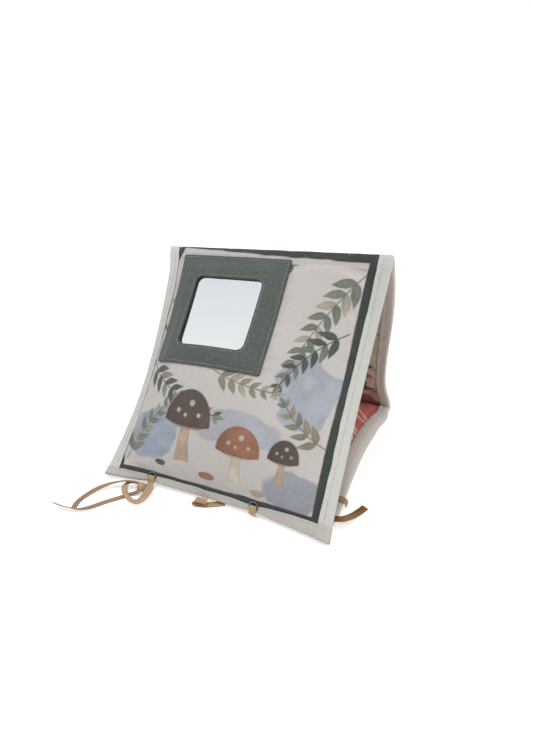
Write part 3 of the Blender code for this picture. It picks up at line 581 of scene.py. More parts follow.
def woven(name, colour=None, thread=0.00045, depth=0.00006, fleck=0.0, roughness=0.85, sheen=0.15,
          mottle=0.05, pricks=False, specks=0.0):
    """Plain-weave cloth, coloured from its print attribute, which on the canvas also holds painted shade, or of
    one given colour; its threads follow the flat cut.

    pricks paints shade into the needle holes along the seam attribute, and specks is how many pale slubs show.
    """
    mat, shader, add = new_material(name)
    shader.inputs["Roughness"].default_value = roughness
    shader.inputs["Sheen Weight"].default_value = sheen
    shader.inputs["Sheen Roughness"].default_value = 0.6
    flat = add("Attribute", attribute_name="flat").outputs["Vector"]
    weave = []
    for direction in ("X", "Y"):
        weave.append(add("TexWave", {"Vector": flat, "Scale": 0.314159 / thread, "Distortion": 1.2,
                                     "Detail": 1.0, "Detail Scale": 0.4},
                         wave_type="BANDS", bands_direction=direction).outputs["Fac"])
    cross = add("Math", {0: weave[0], 1: weave[1]}, operation="MULTIPLY")
    slub = add("TexNoise", {"Vector": flat, "Scale": 420.0, "Detail": 3.0})
    cloudy = add("TexNoise", {"Vector": flat, "Scale": 38.0, "Detail": 2.0})
    if colour is None:
        base = add("Attribute", attribute_name="print_and_painted_shade").outputs["Color"]
    else:
        base = add("RGB").outputs[0]
        base.default_value = (*colour, 1)
    tone = add("Math", {0: cross.outputs[0], 1: 0.10, 2: 0.92}, operation="MULTIPLY_ADD")
    tone = add("Math", {0: slub.outputs["Fac"], 1: 0.16, 2: tone.outputs[0]}, operation="MULTIPLY_ADD")
    tone = add("Math", {0: cloudy.outputs["Fac"], 1: 2 * mottle, 2: tone.outputs[0]}, operation="MULTIPLY_ADD")
    tone = add("Math", {0: tone.outputs[0], 1: 0.08 + mottle + 0.025}, operation="SUBTRACT")
    shaded = add("VectorMath", {0: base, "Scale": tone.outputs[0]}, operation="SCALE")
    last = shaded.outputs[0]
    if fleck:
        spots = add("TexNoise", {"Vector": flat, "Scale": 640.0, "Detail": 1.0}).outputs["Fac"]
        sharp = add("MapRange", {"Value": spots, "From Min": 0.70, "From Max": 0.76, "To Max": fleck})
        last = add("MixRGB", {0: sharp.outputs[0], 1: last, 2: (*FLECK, 1)}).outputs[0]
    if specks:
        slubs = add("TexNoise", {"Vector": flat, "Scale": 900.0, "Detail": 2.0}).outputs["Fac"]
        sharp = add("MapRange", {"Value": slubs, "From Min": 0.56, "From Max": 0.70, "To Max": specks})
        last = add("MixRGB", {0: sharp.outputs[0], 1: last, 2: (0.27, 0.29, 0.27, 1)}).outputs[0]
    height = add("Math", {0: slub.outputs["Fac"], 1: cross.outputs[0]}, operation="ADD")
    if pricks:
        apart = add("SeparateXYZ", {0: add("Attribute", attribute_name="seam").outputs["Vector"]})
        near = add("Math", {0: apart.outputs["X"], 1: STITCH_PITCH / 2}, operation="PINGPONG")
        aside = add("CombineXYZ", {"X": near.outputs[0], "Y": apart.outputs["Y"]})
        away = add("VectorMath", {0: aside.outputs[0]}, operation="LENGTH")
        # Painted shade in the needle holes: a darker dot at each prick along the seam.
        hole = add("MapRange", {"Value": away.outputs["Value"], "From Min": 0.00055, "From Max": 0.00025})
        last = add("MixRGB", {0: hole.outputs[0], 1: last, 2: (0.33, 0.34, 0.33, 1)}).outputs[0]
        height = add("Math", {0: hole.outputs[0], 1: -2.0, 2: height.outputs[0]}, operation="MULTIPLY_ADD")
    mat.node_tree.links.new(last, shader.inputs["Base Color"])
    bump = add("Bump", {"Height": height.outputs[0], "Distance": depth, "Strength": 0.8})
    mat.node_tree.links.new(bump.outputs[0], shader.inputs["Normal"])
    return mat


PRINTED_COTTON = woven("printed_cotton", fleck=0.5)
LINING_COTTON = woven("lining_cotton", fleck=0.25)

PATCH = (-0.0310, 0.0565, 0.1035, 0.1005)    # centre across and along, width and length
FOLD_SEWN = 0.0070            # the two faces are held together this near a fold


def front_sewn(x, s):
    """Where the front page's faces are held: under the tapes, at the ridge and under the patch."""
    under_patch = (np.abs(x - PATCH[0]) < PATCH[2] / 2) & (np.abs(s - PATCH[1]) < PATCH[3] / 2)
    return ((np.abs(x) > STRIP_WIDTH / 2 - TAPE_WIDTH) | (s < FOLD_SEWN) |
            (s > FRONT_LENGTH - TAPE_WIDTH) | under_patch)


def front_lining(sheet):
    for sprig in LINING_SPRIGS:
        sheet.sprig(*sprig, DARK_BROWN, BERRY)


front_pad = padded_page("front_padded_page", FRONT_LENGTH, PAD_START, FRONT_LENGTH - WADDING_INSET, front_sewn)
paint(front_pad, front_art, GROUND, BEIGE, front_lining)
front_pad.data.materials.append(PRINTED_COTTON)
front_pad.data.materials.append(LINING_COTTON)
lay(front_pad, "front")
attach(front_pad, "front_page")
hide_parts("front_outer_cloth", "front_wadding", "front_inner_cloth")


# Back page. Made like the front one, printed outside and lined with beige cotton that has dark sprigs on it.
# Both its ends run into folds, so it is held there as well as under the side tapes.

BACK_SPRIGS = [
    ((-60, -20), -75, 9, 13, 2.0, (26, 10), SAGE, PALE_OLIVE),
    ((20, -196), 80, 9, 12, -3.0, (24, 9), DEEP_SAGE, SAGE),
    ((78, -40), 232, 7, 11, 4.0, (22, 8), OLIVE, PALE_OLIVE),
]
BACK_CLOUDS = [((-40, -150), (44, 30), SKY_WASH, 0.7, 61), ((52, -120), (34, 44), SKY_WASH, 0.6, 67)]
REAR_LEAVES = [(-12, BERRY), (-30, DARK_BROWN), (-52, BERRY), (-66, DARK_BROWN)]     # how far along, and ink
COARSE_STEM = 1.7             # the two hidden prints have wider stems, for their wider squares


def back_art(sheet):
    for cloud in BACK_CLOUDS:
        sheet.cloud(*cloud)
    for sprig in BACK_SPRIGS:
        sheet.sprig(*sprig, thick=COARSE_STEM)
    border(sheet, BACK_LENGTH)


def back_lining(sheet):
    front_lining(sheet)
    for along, ink in REAR_LEAVES:
        for side in (-1, 1):
            sheet.leaf((side * 58, along - 4), 90 - side * 78, 34, 11, ink, 0.10)
            sheet.stem([(side * 54, along + 3), (side * 74, along + 7), (side * 92, along + 3)], 1.4, CREAM)


def back_sewn(x, s):
    return (np.abs(x) > STRIP_WIDTH / 2 - TAPE_WIDTH) | (np.minimum(s, BACK_LENGTH - s) < FOLD_SEWN)


back_pad = padded_page("back_padded_page", BACK_LENGTH, PAD_START, BACK_LENGTH - PAD_START, back_sewn, finer=1)
paint(back_pad, back_art, GROUND, BEIGE, back_lining)
back_pad.data.materials.append(PRINTED_COTTON)
back_pad.data.materials.append(LINING_COTTON)
lay(back_pad, "back")
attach(back_pad, "back_page")
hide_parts("back_outer_cloth", "back_wadding", "back_inner_cloth")


# Base page. The book stands on its printed side; the coral lining with pale blades faces up into the prism.
# The page sags between its lapped tapes until it rests on the floor, and its wadding stands up towards the
# rear, where the pages lean in.

BASE_REST = 0.0036            # how far its underside comes down inside the tapes
BASE_LOFT, LOFT_FROM = 0.0060, 0.2    # how much its wadding stands up, from this share of the page on
BASE_HEM, HEM_RUN = 0.0030, 0.0730    # its side tapes' upper hems go further in over that length off the fold
BLADE_WIDTH, BLADE_CREAM, BLADES_APART = 2.2, CREAM * 1.25, 86
LINING_BLADES = [             # strokes in millimetres; the same five come twice on each side
    [(56, -190), (64, -181), (71, -177), (79, -167), (88, -158)],
    [(62, -172), (70, -165), (75, -160), (81, -154), (88, -151)],
    [(68, -154), (74, -146), (78, -140), (82, -133), (87, -129)],
    [(70, -146), (75, -140), (79, -134), (82, -127), (86, -124)],
    [(73, -134), (78, -128), (81, -123), (83, -119), (87, -115)],
]


def base_lining(sheet):
    for further in (0, BLADES_APART):
        for side in (-1, 1):
            for blade in LINING_BLADES:
                sheet.stem([(side * x, y + further) for x, y in blade], BLADE_WIDTH, BLADE_CREAM)


def base_art(sheet):
    for sprig in BACK_SPRIGS:
        sheet.sprig(*sprig, thick=COARSE_STEM)
    border(sheet, BASE_LENGTH)


def base_loft(inside, s):
    """How much higher the lining lies, at a distance inside the side edge and s along the page."""
    rear = np.clip((s / BASE_LENGTH - LOFT_FROM) / (1 - LOFT_FROM), 0, 1)
    beside = np.clip(inside / TAPE_WIDTH, 0, 1)
    return BASE_LOFT * np.sin(np.pi / 2 * beside) ** 0.7 * np.sin(np.pi * rear) ** 0.8


def base_hem(along):
    return BASE_HEM * np.clip((BASE_LENGTH - along) / HEM_RUN, 0, 1)


def base_sewn(x, s):
    at_sides = np.abs(x) > STRIP_WIDTH / 2 - TAPE_WIDTH - BASE_HEM
    return at_sides | (s < TAPE_WIDTH) | (s > BASE_LENGTH - FOLD_SEWN)


base_pad = padded_page("base_padded_page", BASE_LENGTH, WADDING_INSET, BASE_LENGTH - PAD_START, base_sewn,
                       finer=1, under=BASE_REST, loft=base_loft)
paint(base_pad, base_art, GROUND, CORAL, base_lining)
base_pad.data.materials.append(PRINTED_COTTON)
base_pad.data.materials.append(LINING_COTTON)
lay(base_pad, "base")
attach(base_pad, "base_page")
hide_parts("base_outer_cloth", "base_wadding", "base_inner_cloth")


# Fold cloths. Between two pads the strip is only its two cloths, which bend round the fold and bunch a
# little. The printed cloth shows the dark stripe there, on the ridge and at the rear, where it meets the floor.

CLOTH_REACH, CLOTH_CLEAR = 0.0095, 0.0001     # the bent cloth runs this far over each page, this far off it
CLOTH_RISE, LINING_DRAW = 0.0007, 0.0006      # on the fold it stands up and its lining is drawn in
CLOTH_CREASE = 0.00022
TAPED_RAMP = 0.0010           # it lies flat under the side tapes, and rises within this much of them
RIDGE_APART = Vector((0, 0.965, 0.262))       # the way from the front page to the back page, over the ridge
REAR_APART = Vector((0, 0.629, 0.778))        # the way from the base page to the back page, over the rear fold


def fold_cloth(name, squares_across, squares_along):
    """A flat piece of the strip's two cloths over a fold, ready to be printed and laid."""
    cloth = cut_cloth(name, squares_across, squares_along)
    flat = two_faced(cloth)
    x, t = flat[:, 0] * (STRIP_WIDTH - 2 * WADDING_INSET), -flat[:, 1] * 2 * CLOTH_REACH
    bunch = eased(np.clip(1 - np.abs(t) / CLOTH_REACH, 0, 1))
    crease = CLOTH_CREASE * rough(1000 * x, 2500 * t, 7, 5) * np.sqrt(bunch)
    open_share = np.clip((STRIP_WIDTH / 2 - TAPE_WIDTH - np.abs(x)) / TAPED_RAMP, 0, 1)
    outer = EDGE_HALF + CLOTH_CLEAR + open_share * (CLOTH_RISE * bunch + crease)
    lining = EDGE_HALF + CLOTH_CLEAR - LINING_DRAW * bunch
    move(cloth, np.stack([x, -t, np.where(flat[:, 2] > 0, outer, -lining)], -1))
    cloth.data.materials.append(PRINTED_COTTON)
    cloth.data.materials.append(LINING_COTTON)
    return cloth


def ridge_art(sheet):
    """The ridge's stripe, which gets wider to the right, and the two side stripes that run into it."""
    edge = np.interp(sheet.x, [-90, 20, 80], [0.8, 4.0, 4.8]) + 0.4 * rough(sheet.x, sheet.y, 9, 83)
    stripe(sheet, edge + sheet.y)
    stripe(sheet, STRIPE_WIDTH - (INSIDE_TAPE - sheet.x))
    stripe(sheet, np.where(sheet.x < 0, 5.5 + 0.5 * sheet.y - (INSIDE_TAPE + sheet.x), -1))


ridge_cloth = fold_cloth("ridge_fold", 300, 34)
paint(ridge_cloth, ridge_art, GROUND, BEIGE)
lay(ridge_cloth, "ridge")
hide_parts("ridge_fold_cloth")
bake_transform(ridge_cloth)


def rear_art(sheet):
    stripe(sheet, STRIPE_WIDTH - np.abs(sheet.y))
    stripe(sheet, STRIPE_WIDTH - (INSIDE_TAPE - np.abs(sheet.x)))


rear_cloth = fold_cloth("rear_fold", 150, 24)
# The rear fold's lining is berry: partly the red of the print there, partly painted shade in the crease.
paint(rear_cloth, rear_art, GROUND, BERRY)
lay(rear_cloth, "rear")
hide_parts("rear_fold_cloth")
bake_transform(rear_cloth)


# Edge tape. White cotton folded over each long side of the strip and over its two ends, and sewn through all
# the layers with one row of stitches. At the corners the end tape is turned in and laps over the side tape.

TAPE_NOSE = 0.0022            # depth of the rounded fold at the tape's outer line
SEAM_IN, END_SEAM_IN = 0.0070, 0.0086        # the stitches are this far in from the outer line
STITCH_PITCH, STITCH_SHARE, THREAD = 0.0026, 0.84, 0.00036
TAPE_START = 0.0070           # a page's side tapes start this far from a fold, under the fold's own piece
LAP, LAP_FROM, LAP_RAMP = 0.0010, 0.0018, 0.0016    # how much the end tape climbs onto the side tapes, and where
TIP_SHARE = 0.3               # share of its thickness that it has left at its tips
FOLD_TAPE_LAP, FOLD_TAPE_OVER = 0.00006, 0.0008     # the folds' own tapes lie this far over the others' ends
SEAM_GROOVE, TAPE_PUCKER, TAPE_WAVE = 0.00028, 0.00022, 0.0005
SWELLS = {                    # how much a side tape stands out, how far past its fold and over what reach
    ("ridge", -1): [(0.0021, 0, 0.0125)],
    ("rear", 1): [(0.0034, -0.0240, 0.0140), (0.0012, -0.0550, 0.0250), (0.0023, 0.0130, 0.0150)],
}
FOOT_TURN_AT = (-0.100, -0.020, 0.037, 0.052, 0.070)        # places across the foot, and how far
FOOT_TURN = (0.0034, 0.0033, 0.0034, 0.0018, 0)             # the foot tape rolls under there
TIE_PINCH, PINCH_REACH = 0.0016, 0.0110      # the foot is drawn in where a tie goes over it
EYELET_X = (-0.0560, 0.0370)
TAPE_STEP = 0.0012            # rings along a side tape are this far apart
SEAM_HALF, PUCKER_FROM = 0.0006, 0.0030      # half width of the groove that the stitches pull into the tape
# The tapes are one white cloth; these tones are painted light: the foot tape darker and warmer as painted shade,
# the back and base tapes warmer as painted warm bounce light.
TAPE_TONES_OF_PAINTED_LIGHT = {"front": dye(203, 204, 198), "foot": dye(193, 188, 180), "back": dye(206, 197, 187),
              "base": dye(208, 202, 195)}
MERGED = 0.000001             # points nearer than this are made one


def tape_section():
    """Closed section of the folded tape: rows of (distance in, share of the half height, outer face or not)."""
    flats = np.linspace(1, 0, 10)[:-1]
    turns = np.radians(np.linspace(90, -90, 13))
    rows = []
    for outer in (1, 0):
        nose = TAPE_NOSE - (0 if outer else TAPE)
        start = 0 if outer else TAPE
        side = [(TAPE_NOSE + (TAPE_WIDTH - TAPE_NOSE) * f, 1.0) for f in flats]
        bend = [(start + nose * (1 - math.cos(a)), math.sin(a)) for a in turns]
        path = side + bend + [(d, -h) for d, h in reversed(side)]
        rows.append([(d, h, outer) for d, h in path])
    hem = (TAPE_WIDTH + TAPE / 2, 1.0, 0.5)
    under_hem = (TAPE_WIDTH + TAPE / 2, -1.0, 0.5)
    return rows[0] + [under_hem] + rows[1][::-1] + [hem]


def past_nose(into):
    """How far a place in from the outer line is on the way from the tape's rounded fold to its hem, 0 to 1."""
    return np.clip((into - TAPE_NOSE) / (TAPE_WIDTH - TAPE_NOSE), 0, 1)


def folded_tape(name, tone, places, half_height, flat_place, seed, seam_in=SEAM_IN, loft=None, hem=None):
    """Sweeps the tape's section through places along it; flat_place turns (along, in) into flat X and Y.

    loft is how much higher its inner leg lies, and hem how much further in that leg's hem lies.
    """
    section = np.array(tape_section())
    count, rings = len(section), len(places)
    tape = cut_cloth(name, count, rings - 1)
    grid = points(tape)
    column = np.round((grid[:, 0] + 0.5) * count).astype(int) % count
    row = np.round((0.5 - grid[:, 1]) * (rings - 1)).astype(int)
    along = np.asarray(places)[row]
    into, share, outer = section[column].T
    into = into + TAPE_WAVE * rough(along * 1000, 0 * along, 11, seed) * (into / TAPE_WIDTH) ** 4
    if hem:
        into = np.where(share < 0, into + hem(along) * past_nose(into), into)
    groove = SEAM_GROOVE * np.exp(-((into - seam_in) / SEAM_HALF) ** 2)
    pucker = TAPE_PUCKER * rough(along * 1000, into * 1000, 4.5, seed + 1) * np.clip(into / PUCKER_FROM, 0, 1)
    height = half_height(along) + outer * (TAPE + pucker - groove)
    if loft:
        height = np.where(share < 0, height + loft(into, along), height)
    x, y = flat_place(along, into)
    move(tape, np.stack([x, y, share * height], -1))
    seam = tape.data.attributes.new("seam", "FLOAT_VECTOR", "POINT")
    seam.data.foreach_set("vector", np.stack([along, into - seam_in, 0 * along], -1).ravel())
    choose(tape)
    bpy.ops.object.mode_set(mode="EDIT")
    bpy.ops.mesh.select_all(action="SELECT")
    bpy.ops.mesh.remove_doubles(threshold=MERGED)
    for cut in (places[0], places[-1]):
        bpy.ops.mesh.select_all(action="DESELECT")
        bpy.ops.object.mode_set(mode="OBJECT")
        ends = np.empty(3 * len(tape.data.vertices))
        tape.data.attributes["seam"].data.foreach_get("vector", ends)
        tape.data.vertices.foreach_set("select", np.abs(ends[::3] - cut) < 0.00001)
        bpy.ops.object.mode_set(mode="EDIT")
        bpy.ops.mesh.edge_face_add()
    bpy.ops.mesh.select_all(action="SELECT")
    bpy.ops.mesh.normals_make_consistent(inside=False)
    bpy.ops.object.mode_set(mode="OBJECT")
    tape.data.materials.append(EDGE_TAPES[tone])
    return tape


def bulge(side, along, folds):
    """How far a side tape stands out at places along it; folds gives each fold that it runs into and where."""
    out = 0 * along
    for fold_name, place in folds:
        for much, past, reach in SWELLS.get((fold_name, side), []):
            out = out + much * np.exp(-((along - place - past) / reach) ** 2)
    return out


def side_places(side, folds):
    return lambda along, into: (side * (STRIP_WIDTH / 2 + bulge(side, along, folds) - into), -along)


def end_places(end, inward, rolled=False):
    """Places of the tape on an end of the strip, pinched at the ties and, if rolled, turned under."""
    def place(along, into):
        pinch = sum(TIE_PINCH * np.exp(-((along - x) / PINCH_REACH) ** 2) for x in EYELET_X)
        under = np.interp(along, FOOT_TURN_AT, FOOT_TURN) * past_nose(into) if rolled else 0
        return along, -(end + inward * (into - under + pinch * np.clip(1 - into / TAPE_WIDTH, 0, 1)))
    return place


def beside_page(along):
    """A side tape's inner face lies on the page's cloth."""
    return EDGE_HALF + GAP + 0 * along


def beside_fold(along):
    """The folds' own pieces of tape lie just over the ends of the pages' tapes."""
    return beside_page(along) + FOLD_TAPE_LAP


def lapped(along):
    """The end tape's inner face climbs over the side tapes at the corners, and its tips are rounded."""
    over = np.clip((np.abs(along) - (STRIP_WIDTH / 2 - TAPE_WIDTH - LAP_FROM)) / LAP_RAMP, 0, 1)
    tip = np.clip((STRIP_WIDTH / 2 - np.abs(along)) / TAPE_NOSE, 0, 1)
    return (EDGE_HALF + GAP + LAP * eased(over)) * (TIP_SHARE + (1 - TIP_SHARE) * np.sqrt(tip * (2 - tip)))


EDGE_TAPES = {key: woven(key + "_tape", white, thread=0.0004, roughness=0.8, sheen=0.1, mottle=0.02, pricks=True)
              for key, white in TAPE_TONES_OF_PAINTED_LIGHT.items()}
FRONT_END = FRONT_LENGTH - WADDING_INSET
BACK_END, BASE_END = BACK_LENGTH - TAPE_START, BASE_LENGTH - TAPE_START
SIDE_TAPES = [                # page, first and last place, seed, folds and where they are, loft and hem
    ("front", TAPE_START, FRONT_END, 211, [("ridge", 0)], None, None),
    ("back", TAPE_START, BACK_END, 227, [("rear", 0), ("ridge", BACK_LENGTH)], None, None),
    ("base", WADDING_INSET, BASE_END, 239, [("rear", BASE_LENGTH)], base_loft, base_hem),
]
for page_name, first, last, seed, folds, loft, hem in SIDE_TAPES:
    for side, side_name in ((-1, "left"), (1, "right")):
        places = np.linspace(first, last, round((last - first) / TAPE_STEP) + 1)
        tape = folded_tape(f"{page_name}_{side_name}_edge", page_name, places, beside_page,
                           side_places(side, folds), seed + side, loft=loft, hem=hem)
        lay(tape, page_name)
        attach(tape, page_name + "_page")
        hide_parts(f"{page_name}_{side_name}_tape")

near_tips = STRIP_WIDTH / 2 - np.array([0.0002, 0.0006])
edge_places = np.linspace(-STRIP_WIDTH / 2, STRIP_WIDTH / 2, 169)
edge_places = np.unique(np.concatenate([edge_places, near_tips, -near_tips]))
foot_places, base_end_places = end_places(FRONT_LENGTH, -1, rolled=True), end_places(0, 1)
END_TAPES = [                 # page, end, tone, places and seed
    ("front", "foot", "foot", foot_places, 251),
    ("base", "front", "base", base_end_places, 257),
]
for page_name, end_name, tone, flat_places, seed in END_TAPES:
    tape = folded_tape(f"{page_name}_{end_name}_edge", tone, edge_places, lapped, flat_places, seed, END_SEAM_IN)
    lay(tape, page_name)
    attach(tape, page_name + "_page")
    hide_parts(f"{page_name}_{end_name}_tape")

FOLD_TAPES = [                # fold, tone, the way across it, its axis, its rise to the right, the joined pages
    ("ridge", "front", RIDGE_APART, RIDGE, RIDGE_RISE, ("front_page", "back_page")),
    ("rear", "base", REAR_APART, REAR, 0, ("base_page", "back_page")),
]
for fold_name, tone, apart, middle, to_right, joined in FOLD_TAPES:
    for side, side_name in ((-1, "left"), (1, "right")):
        places = np.linspace(-TAPE_START - FOLD_TAPE_OVER, TAPE_START + FOLD_TAPE_OVER, 25)
        tape = folded_tape(f"{fold_name}_{side_name}_edge", tone, places, beside_fold,
                           side_places(side, [(fold_name, 0)]), 263 + side)
        lay(tape, fold_name)
        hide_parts(f"{fold_name}_fold_{side_name}_tape")
        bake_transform(tape)


def seam_stitches(line, height, thread):
    """Stitches one pitch apart along a flat line of points; height is how far they stand out at (x, s)."""
    line = np.array(line)
    along = np.concatenate([[0], np.cumsum(np.linalg.norm(np.diff(line, axis=0), axis=1))])
    count = int(along[-1] / STITCH_PITCH)
    bpy.ops.object.select_all(action="DESELECT")
    bpy.ops.mesh.primitive_uv_sphere_add(segments=6, ring_count=5, radius=1)
    seam = bpy.context.object
    row = seam.modifiers.new("row", "ARRAY")
    row.count = count
    row.use_relative_offset = False
    apply_all(seam)
    one = points(seam).reshape(count, -1, 3) * (STITCH_PITCH * STITCH_SHARE / 2, thread / 2, thread / 2)
    middle = (np.arange(count) + 0.5)[:, None] * STITCH_PITCH
    before, after = middle - STITCH_PITCH / 2, middle + STITCH_PITCH / 2
    way = np.stack([np.interp(after, along, part) - np.interp(before, along, part) for part in line.T])
    way /= np.linalg.norm(way, axis=0)
    x = np.interp(middle, along, line[:, 0]) + one[:, :, 0] * way[0] - one[:, :, 1] * way[1]
    y = np.interp(middle, along, line[:, 1]) + one[:, :, 0] * way[1] + one[:, :, 1] * way[0]
    move(seam, np.stack([x, y, one[:, :, 2] + height(x, -y)], -1).reshape(-1, 3))
    return seam


def stitches(name, lines, height, page_name, mat, thread=THREAD):
    """All the seams of one page's piece as one object, laid on the page."""
    made = [seam_stitches(line, height, thread) for line in lines]
    bpy.ops.object.select_all(action="DESELECT")
    for seam in made:
        seam.select_set(True)
    bpy.context.view_layer.objects.active = made[0]
    bpy.ops.object.join()
    made[0].name = name
    made[0].data.materials.append(mat)
    lay(made[0], page_name)
    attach(made[0], page_name + "_page")


THREAD_WHITE = woven("white_thread", dye(198, 199, 193), thread=0.0002, roughness=0.6, sheen=0.2, mottle=0.02)
SEAM_X = STRIP_WIDTH / 2 - SEAM_IN


def first_prick(place):
    """The first needle hole at or after a place: the holes lie at whole pitches."""
    return math.ceil(place / STITCH_PITCH) * STITCH_PITCH


def on_tape(x, s):
    return EDGE_HALF + GAP + TAPE - SEAM_GROOVE + THREAD / 4


for page_name, first, last, seed, folds, loft, hem in SIDE_TAPES:
    start = first_prick(first + 0.001)
    stop = last - (0.010 if page_name == "front" else 0.001)
    rows = []
    for side in (-1, 1):
        way_along = np.arange(start, stop, STITCH_PITCH)
        rows.append(np.stack([side * (SEAM_X + bulge(side, way_along, folds)), -way_along], -1))
    if page_name == "front":
        way_across = np.arange(first_prick(0.002 - STRIP_WIDTH / 2), STRIP_WIDTH / 2 - 0.003, STITCH_PITCH)
        rows.append(np.stack(foot_places(way_across, END_SEAM_IN), -1))
    stitches(page_name + "_edge_stitches", rows, on_tape, page_name, THREAD_WHITE)


# Mirror. A thin sheet of silvered acrylic laid on the page, held all round by the canvas over its edges.

MIRROR_THICKNESS, MIRROR_MARGIN = 0.0010, 0.0070
WINDOW = (-0.0302, 0.0584, 0.0640, 0.0630, 0.0060)   # centre across and along, width, length, corner radius


def seat(x, s):
    return pad_half(x, s, FRONT_LENGTH) + GAP


def silvered():
    """Silvered acrylic with a little haze; its colour is painted paler towards the bottom, as a painted
    reflection of a room that is paler below.
    """
    mat, shader, add = new_material("silvered_acrylic")
    shader.inputs["Metallic"].default_value = 1.0
    shader.inputs["Coat Weight"].default_value = 0.3
    shader.inputs["Coat Roughness"].default_value = 0.02
    flat = add("Attribute", attribute_name="flat").outputs["Vector"]
    apart = add("SeparateXYZ", {0: flat})
    # Painted reflection: the colour is paler towards the bottom of the mirror.
    down = add("MapRange", {"Value": apart.outputs["Y"], "From Min": -0.028, "From Max": -0.090})
    tint_with_painted_light = add("MixRGB", {0: down.outputs[0], 1: (0.70, 0.73, 0.775, 1), 2: (0.80, 0.83, 0.845, 1)})
    mat.node_tree.links.new(tint_with_painted_light.outputs[0], shader.inputs["Base Color"])
    haze = add("TexNoise", {"Vector": flat, "Scale": 60.0, "Detail": 3.0})
    dull = add("MapRange", {"Value": haze.outputs["Fac"], "To Min": 0.03, "To Max": 0.07})
    mat.node_tree.links.new(dull.outputs[0], shader.inputs["Roughness"])
    return mat


mirror = cut_cloth("mirror", 40, 40)
flat = two_faced(mirror, lining=0)
mirror_x = WINDOW[0] + flat[:, 0] * (WINDOW[2] + 2 * MIRROR_MARGIN - 2 * GAP)
mirror_s = WINDOW[1] - flat[:, 1] * (WINDOW[3] + 2 * MIRROR_MARGIN - 2 * GAP)
mirror_w = seat(mirror_x, mirror_s) + (flat[:, 2] > 0) * MIRROR_THICKNESS
move(mirror, np.stack([mirror_x, -mirror_s, mirror_w], -1))
mirror.data.materials.append(silvered())
lay(mirror, "front")
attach(mirror, "front_page")
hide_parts("mirror_sheet")


# Mirror frame. A square of coarse canvas with its edges turned in, topstitched to the page round its outside
# and again round the round-cornered window, whose folded facing stands up round the mirror.

CANVAS, RIM = 0.0021, 0.0024          # thickness by the outer edge, and by the facing round the window
PATCH_SLOPE = 0.0100                  # the canvas comes down over this much from the mirror's edge
LINE_SIDE, LINE_CORNER = 26, 7        # points along each side and round each corner of the window
# CANVAS_SHADOW is painted shade: near black on the facing round the window, and partly laid on the outer edge.
CANVAS_GREEN, CANVAS_SHADOW = dye(74, 82, 77), dye(8, 9, 10)
CANVAS_SEAM_IN, CANVAS_THREAD = 0.0019, 0.00050
CANVAS_GROOVE, GROOVE_HALF = 0.00035, 0.0007        # how deep the topstitching sinks in, and how wide
CANVAS_ROUNDING, EDGE_SHARE = 0.0008, 0.72          # its turned edges are rounded off over this much
FACING_SHARE, SHADOW_SHARE = 0.002, 0.45            # the facing round the window is in full shadow


def rounded_outline(cx, cs, width, length, radius):
    """Points (across, along) round a rectangle with round corners, the same count for any size."""
    bends = []
    for sx, sy, start in ((1, -1, -90), (1, 1, 0), (-1, 1, 90), (-1, -1, 180)):
        turn = np.radians(np.linspace(start, start + 90, LINE_CORNER))[:, None]
        bends.append((sx * (width / 2 - radius), sy * (length / 2 - radius)) +
                     radius * np.hstack([np.cos(turn), np.sin(turn)]))
    q = np.linspace(0, 1, LINE_SIDE + 2)[1:-1, None]
    line = []
    for bend, following in zip(bends, bends[1:] + bends[:1]):
        line += [bend, (1 - q) * bend[-1] + q * following[0]]
    return (cx, cs) + np.vstack(line) * (1, -1)


def over_mirror(x, s):
    """How far the canvas is lifted by the mirror sheet under it, and how far off that sheet it is."""
    away = np.maximum(np.abs(x - WINDOW[0]) - WINDOW[2] / 2, np.abs(s - WINDOW[1]) - WINDOW[3] / 2)
    away = away - MIRROR_MARGIN
    return (MIRROR_THICKNESS + GAP) * eased(np.clip(1 - away / PATCH_SLOPE, 0, 1)), away


def canvas_top(x, s):
    """How far the canvas's underside stands out, and its thickness there."""
    lift, away = over_mirror(x, s)
    thick = CANVAS + (RIM - CANVAS) * np.clip(1 - away / PATCH_SLOPE, 0, 1)
    return seat(x, s) + lift, thick


